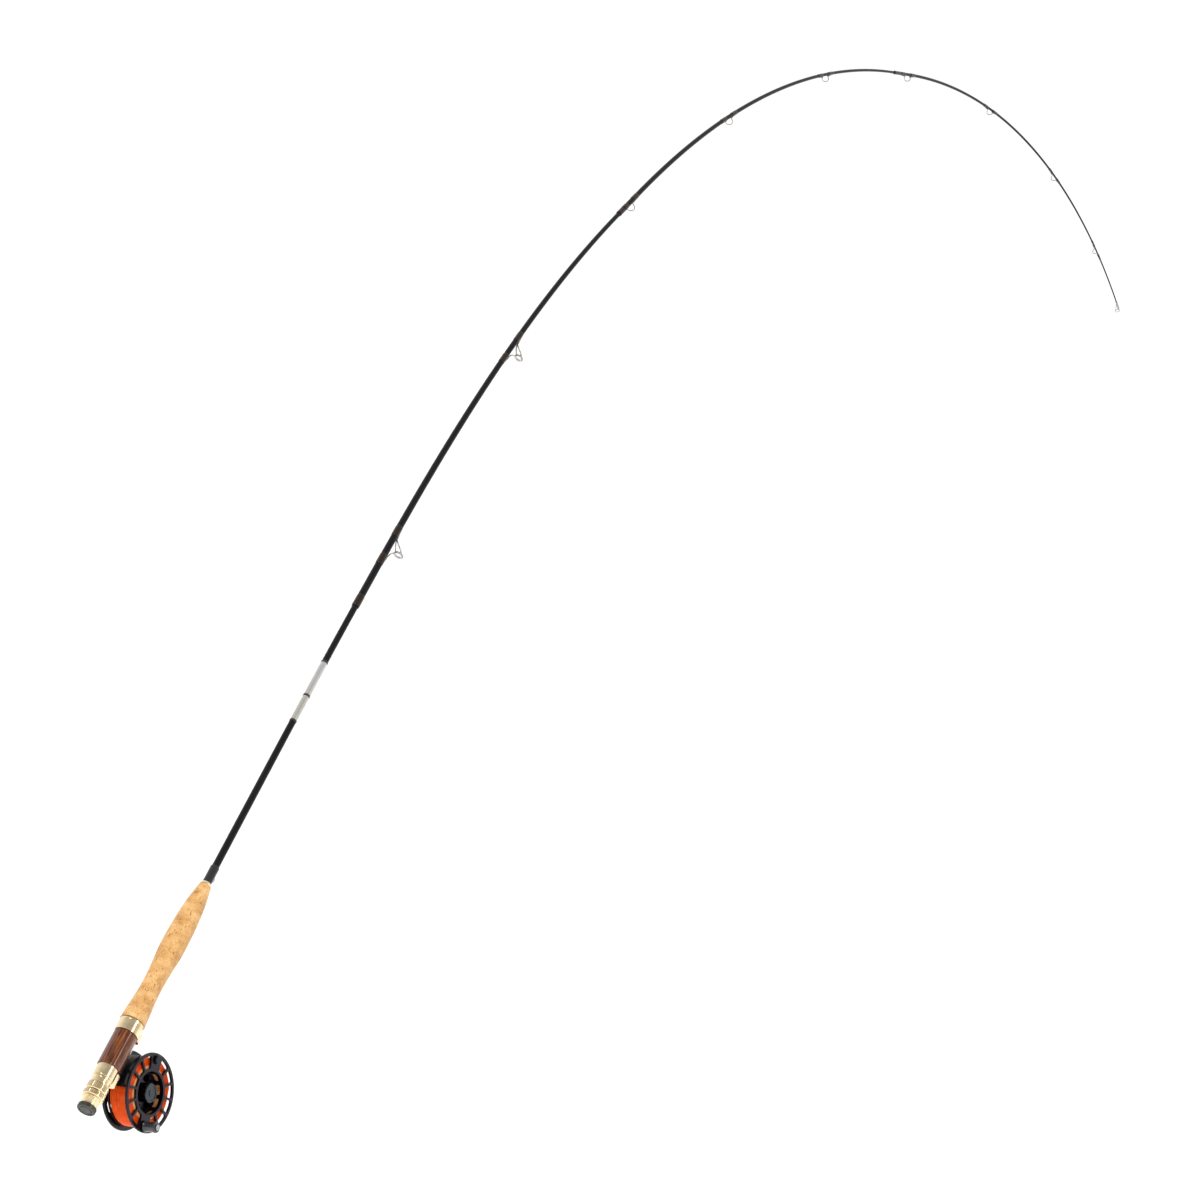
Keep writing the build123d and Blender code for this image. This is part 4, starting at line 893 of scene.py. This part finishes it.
def grip_radius(s):
    """A smooth curve through the grip's outline."""
    for number in range(len(GRIP_OUTLINE) - 1):
        low, high = GRIP_OUTLINE[number], GRIP_OUTLINE[number + 1]
        if s <= high[0] or number == len(GRIP_OUTLINE) - 2:
            break
    before = GRIP_OUTLINE[max(number - 1, 0)]
    after = GRIP_OUTLINE[min(number + 2, len(GRIP_OUTLINE) - 1)]
    t = (s - low[0]) / (high[0] - low[0])
    width = high[0] - low[0]
    slope_low = (high[1] - before[1]) / (high[0] - before[0]) * width
    slope_high = (after[1] - low[1]) / (after[0] - low[0]) * width
    return ((2 * t**3 - 3 * t**2 + 1) * low[1] + (t**3 - 2 * t**2 + t) * slope_low
            + (3 * t**2 - 2 * t**3) * high[1] + (t**3 - t**2) * slope_high)


def pit_depth(s, angle, radius):
    """Cork's open pores: short, stretched and scattered. From 0 to 1."""
    ring = int((s - GRIP_START) / CORK_RING)
    shift = Vector((0, ring * 37.1, ring * 11.7))
    along, round_it = PORE_SCALES
    spot = shift + Vector(
        (s * along, radius * math.cos(angle) * round_it, radius * math.sin(angle) * round_it)
    )
    value = noise.noise(spot * 1.15) + 0.35 * noise.noise(spot * 2.9)
    return max(0.0, min(1.0, (value - PORE_LEVEL) / PORE_SOFTNESS))


def make_grip():
    """Cork rings glued end to end, sanded to one outline, with pores and glue lines."""
    rings = []
    marks = []
    pits = []
    for s in stations(GRIP_START, GRIP_END, 0.5):
        base = grip_radius(s)
        to_joint = abs((s - GRIP_START + CORK_RING / 2) % CORK_RING - CORK_RING / 2)
        glued = GRIP_START + 1 < s < GRIP_END - 1
        groove = GLUE_GROOVE * math.exp(-((to_joint / GROOVE_WIDTH) ** 2)) if glued else 0.0
        line = GLUE_DARKNESS * math.exp(-((to_joint / GLUE_WIDTH) ** 2)) if glued else 0.0
        depths = {angle: pit_depth(s, angle, base) for angle in turn_angles(GRIP_SIDES)}
        sizes = {angle: base - groove - PORE_DEPTH * depth for angle, depth in depths.items()}
        rings.append(rod_ring(s, sizes.get, GRIP_SIDES))
        marks.append(s)
        pits += [min(1.0, max(depth, line)) for depth in depths.values()]
    for s in stations(GRIP_END, GRIP_START, 12):
        rings.append(rod_ring(s, GRIP_BORE, GRIP_SIDES))
        marks.append(s)
        pits += [0.0] * GRIP_SIDES
    piece = skin("cork_handle", rings, "cork", "handle", marks, loop=True, sharp=75)
    store = piece.data.attributes.new("pit", "FLOAT", "POINT")
    store.data.foreach_set("value", pits)
    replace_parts(piece, "cork_grip")


make_grip()

# ---------------------------------------------------------------- wound fly line
_, reel_side, _, up_rod = rod_frame(0)
reel_centre = up_rod * REEL_ALONG + reel_side * REEL_BELOW
LINE_THICKNESS = 1.22
LINE_PLAY = 0.02
WIND_LOW = -13.0
WIND_HIGH = 9.1
WIND_INNER = 27.0
WIND_OUTER = 35.0
TURN_PACKING = 1.03  # pitch of the turns, in line thicknesses
LAYER_PACKING = 0.93
TURN_STEPS = 40
TOP_WANDER = 0.42
INNER_WANDER = 0.15
WANDER_STEPS = 33
DIP = 0.32
DIP_STEPS = 27


def wind_line():
    """The fly line in layers, each a helix from one flange to the other and back."""
    random.seed(7)
    half = LINE_THICKNESS / 2
    turns = int((WIND_HIGH - WIND_LOW - LINE_THICKNESS) / (LINE_THICKNESS * TURN_PACKING))
    layers = 1 + round((WIND_OUTER - WIND_INNER - LINE_THICKNESS) / (LINE_THICKNESS * LAYER_PACKING))
    low = WIND_LOW + half + LINE_PLAY
    high = WIND_HIGH - half - LINE_PLAY
    steps = turns * TURN_STEPS
    path = []
    for layer in range(layers):
        radius = WIND_INNER + half + (WIND_OUTER - WIND_INNER - 2 * half) * layer / (layers - 1)
        wander = TOP_WANDER if layer == layers - 1 else INNER_WANDER
        drift_place = random.uniform(0, 50)
        for step in range(steps):
            share = step / steps
            across = share if layer % 2 == 0 else 1 - share
            angle = 2 * math.pi * (step / TURN_STEPS)
            drift = noise.noise(Vector((drift_place, step / WANDER_STEPS, layer))) * wander
            y = max(low, min(high, low + (high - low) * across + drift))
            dip = DIP * noise.noise(Vector((drift_place + 9, step / DIP_STEPS, 3.0 + layer)))
            size = radius + (min(0.0, dip) if layer else 0.0)
            path.append(reel_centre + Vector((size * math.cos(angle), y, size * math.sin(angle))))
    piece = tube("wound_line", path, half, "orange_line", "spool", 8)
    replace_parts(piece, "fly_line")


wind_line()


# ---------------------------------------------------------------- camera
def aim_camera(position, yaw, pitch, roll, lens):
    """Yaw turns the view right from +Y when positive, pitch looks down, roll tips clockwise."""
    back = Vector((math.sin(yaw) * math.cos(pitch), -math.cos(yaw) * math.cos(pitch), math.sin(pitch)))
    right = Vector((math.cos(yaw), math.sin(yaw), 0))
    up = back.cross(right)
    rolled_right = right * math.cos(roll) + up * math.sin(roll)
    rolled_up = up * math.cos(roll) - right * math.sin(roll)
    camera = bpy.data.objects.new("camera", bpy.data.cameras.new("camera"))
    camera.data.lens = lens
    camera.data.clip_end = 200
    axes = Matrix((rolled_right, rolled_up, back)).transposed()
    camera.matrix_world = Matrix.Translation(position) @ axes.to_4x4()
    bpy.context.scene.collection.objects.link(camera)
    bpy.context.scene.camera = camera
    return camera


camera = aim_camera(
    position=Vector((-4.230, -3.157, 0.820)), yaw=math.radians(-58.69), pitch=math.radians(3.45),
    roll=math.radians(0.40), lens=162.6,
)

# ---------------------------------------------------------------- floor, world and lights
FLOOR_DROP = 0.25
FLOOR_SIZE = 60.0


def make_floor():
    """A wide white floor, well below the object, which the photo shows against plain white."""
    height = cad_low.z - FLOOR_DROP
    mesh = bmesh.new()
    bmesh.ops.create_grid(mesh, x_segments=8, y_segments=8, size=FLOOR_SIZE)
    bmesh.ops.translate(mesh, verts=mesh.verts, vec=(0, 0, height))
    data = bpy.data.meshes.new("floor")
    mesh.to_mesh(data)
    mesh.free()
    floor = bpy.data.objects.new("floor", data)
    bpy.context.scene.collection.objects.link(floor)
    paint = Finish("floor", Roughness=0.9, Specular_IOR_Level=0.1)
    mottle = paint.noise(paint.place(), 2, 3)
    paint.feed("Base Color", paint.ramp(mottle, (0, (0.93, 0.93, 0.93)), (1, (0.95, 0.95, 0.95))))
    data.materials.append(paint.material)


def make_world():
    """A studio whose light is bright behind the object and softer behind the camera.

    Seen directly it is white from every side.
    """
    world = bpy.data.worlds.new("studio")
    bpy.context.scene.world = world
    world.use_nodes = True
    tree = world.node_tree
    background = tree.nodes["Background"]
    background.inputs["Color"].default_value = (1, 1, 1, 1)
    direction = tree.nodes.new("ShaderNodeTexCoord").outputs["Generated"]
    facing = tree.nodes.new("ShaderNodeVectorMath")
    facing.operation = "DOT_PRODUCT"
    forward = camera.matrix_world.to_3x3() @ Vector((0, 0, -1))
    facing.inputs[1].default_value = forward
    tree.links.new(direction, facing.inputs[0])
    fade = tree.nodes.new("ShaderNodeMapRange")
    fade.interpolation_type = "SMOOTHSTEP"
    for socket, value in (("From Min", -0.6), ("From Max", 0.7), ("To Min", 0.40), ("To Max", 1.05)):
        fade.inputs[socket].default_value = value
    tree.links.new(facing.outputs["Value"], fade.inputs["Value"])
    backdrop = tree.nodes.new("ShaderNodeMath")
    backdrop.operation = "MAXIMUM"
    tree.links.new(tree.nodes.new("ShaderNodeLightPath").outputs["Is Camera Ray"], backdrop.inputs[0])
    tree.links.new(fade.outputs["Result"], backdrop.inputs[1])
    tree.links.new(backdrop.outputs["Value"], background.inputs["Strength"])


def add_softbox(name, position, target, width, height, power):
    """A rectangle of soft light that faces its target."""
    light = bpy.data.lights.new(name, "AREA")
    light.shape = "RECTANGLE"
    light.size = width
    light.size_y = height
    light.energy = power
    lamp = bpy.data.objects.new(name, light)
    lamp.location = position
    lamp.rotation_mode = "QUATERNION"
    lamp.rotation_quaternion = (Vector(target) - Vector(position)).to_track_quat("-Z", "Y")
    bpy.context.scene.collection.objects.link(lamp)


def add_sky_light(direction, strength, spread):
    """One broad, even light from above, which lights the floor alike everywhere."""
    light = bpy.data.lights.new("sky", "SUN")
    light.energy = strength
    light.angle = spread
    lamp = bpy.data.objects.new("sky", light)
    lamp.rotation_mode = "QUATERNION"
    lamp.rotation_quaternion = Vector(direction).to_track_quat("-Z", "Y")
    lamp.visible_glossy = False
    bpy.context.scene.collection.objects.link(lamp)


make_floor()
make_world()
add_softbox("key", (-2.6, -0.4, 3.4), target=(0.1, 0, 0.1), width=2.0, height=0.8, power=45)
add_softbox("fill", (0.6, -4.2, 1.4), target=(0.2, 0, 0.1), width=0.8, height=2.4, power=25)
add_sky_light((0.35, 0.20, -0.90), strength=1.75, spread=math.radians(50))
bpy.context.scene.view_settings.view_transform = "Standard"
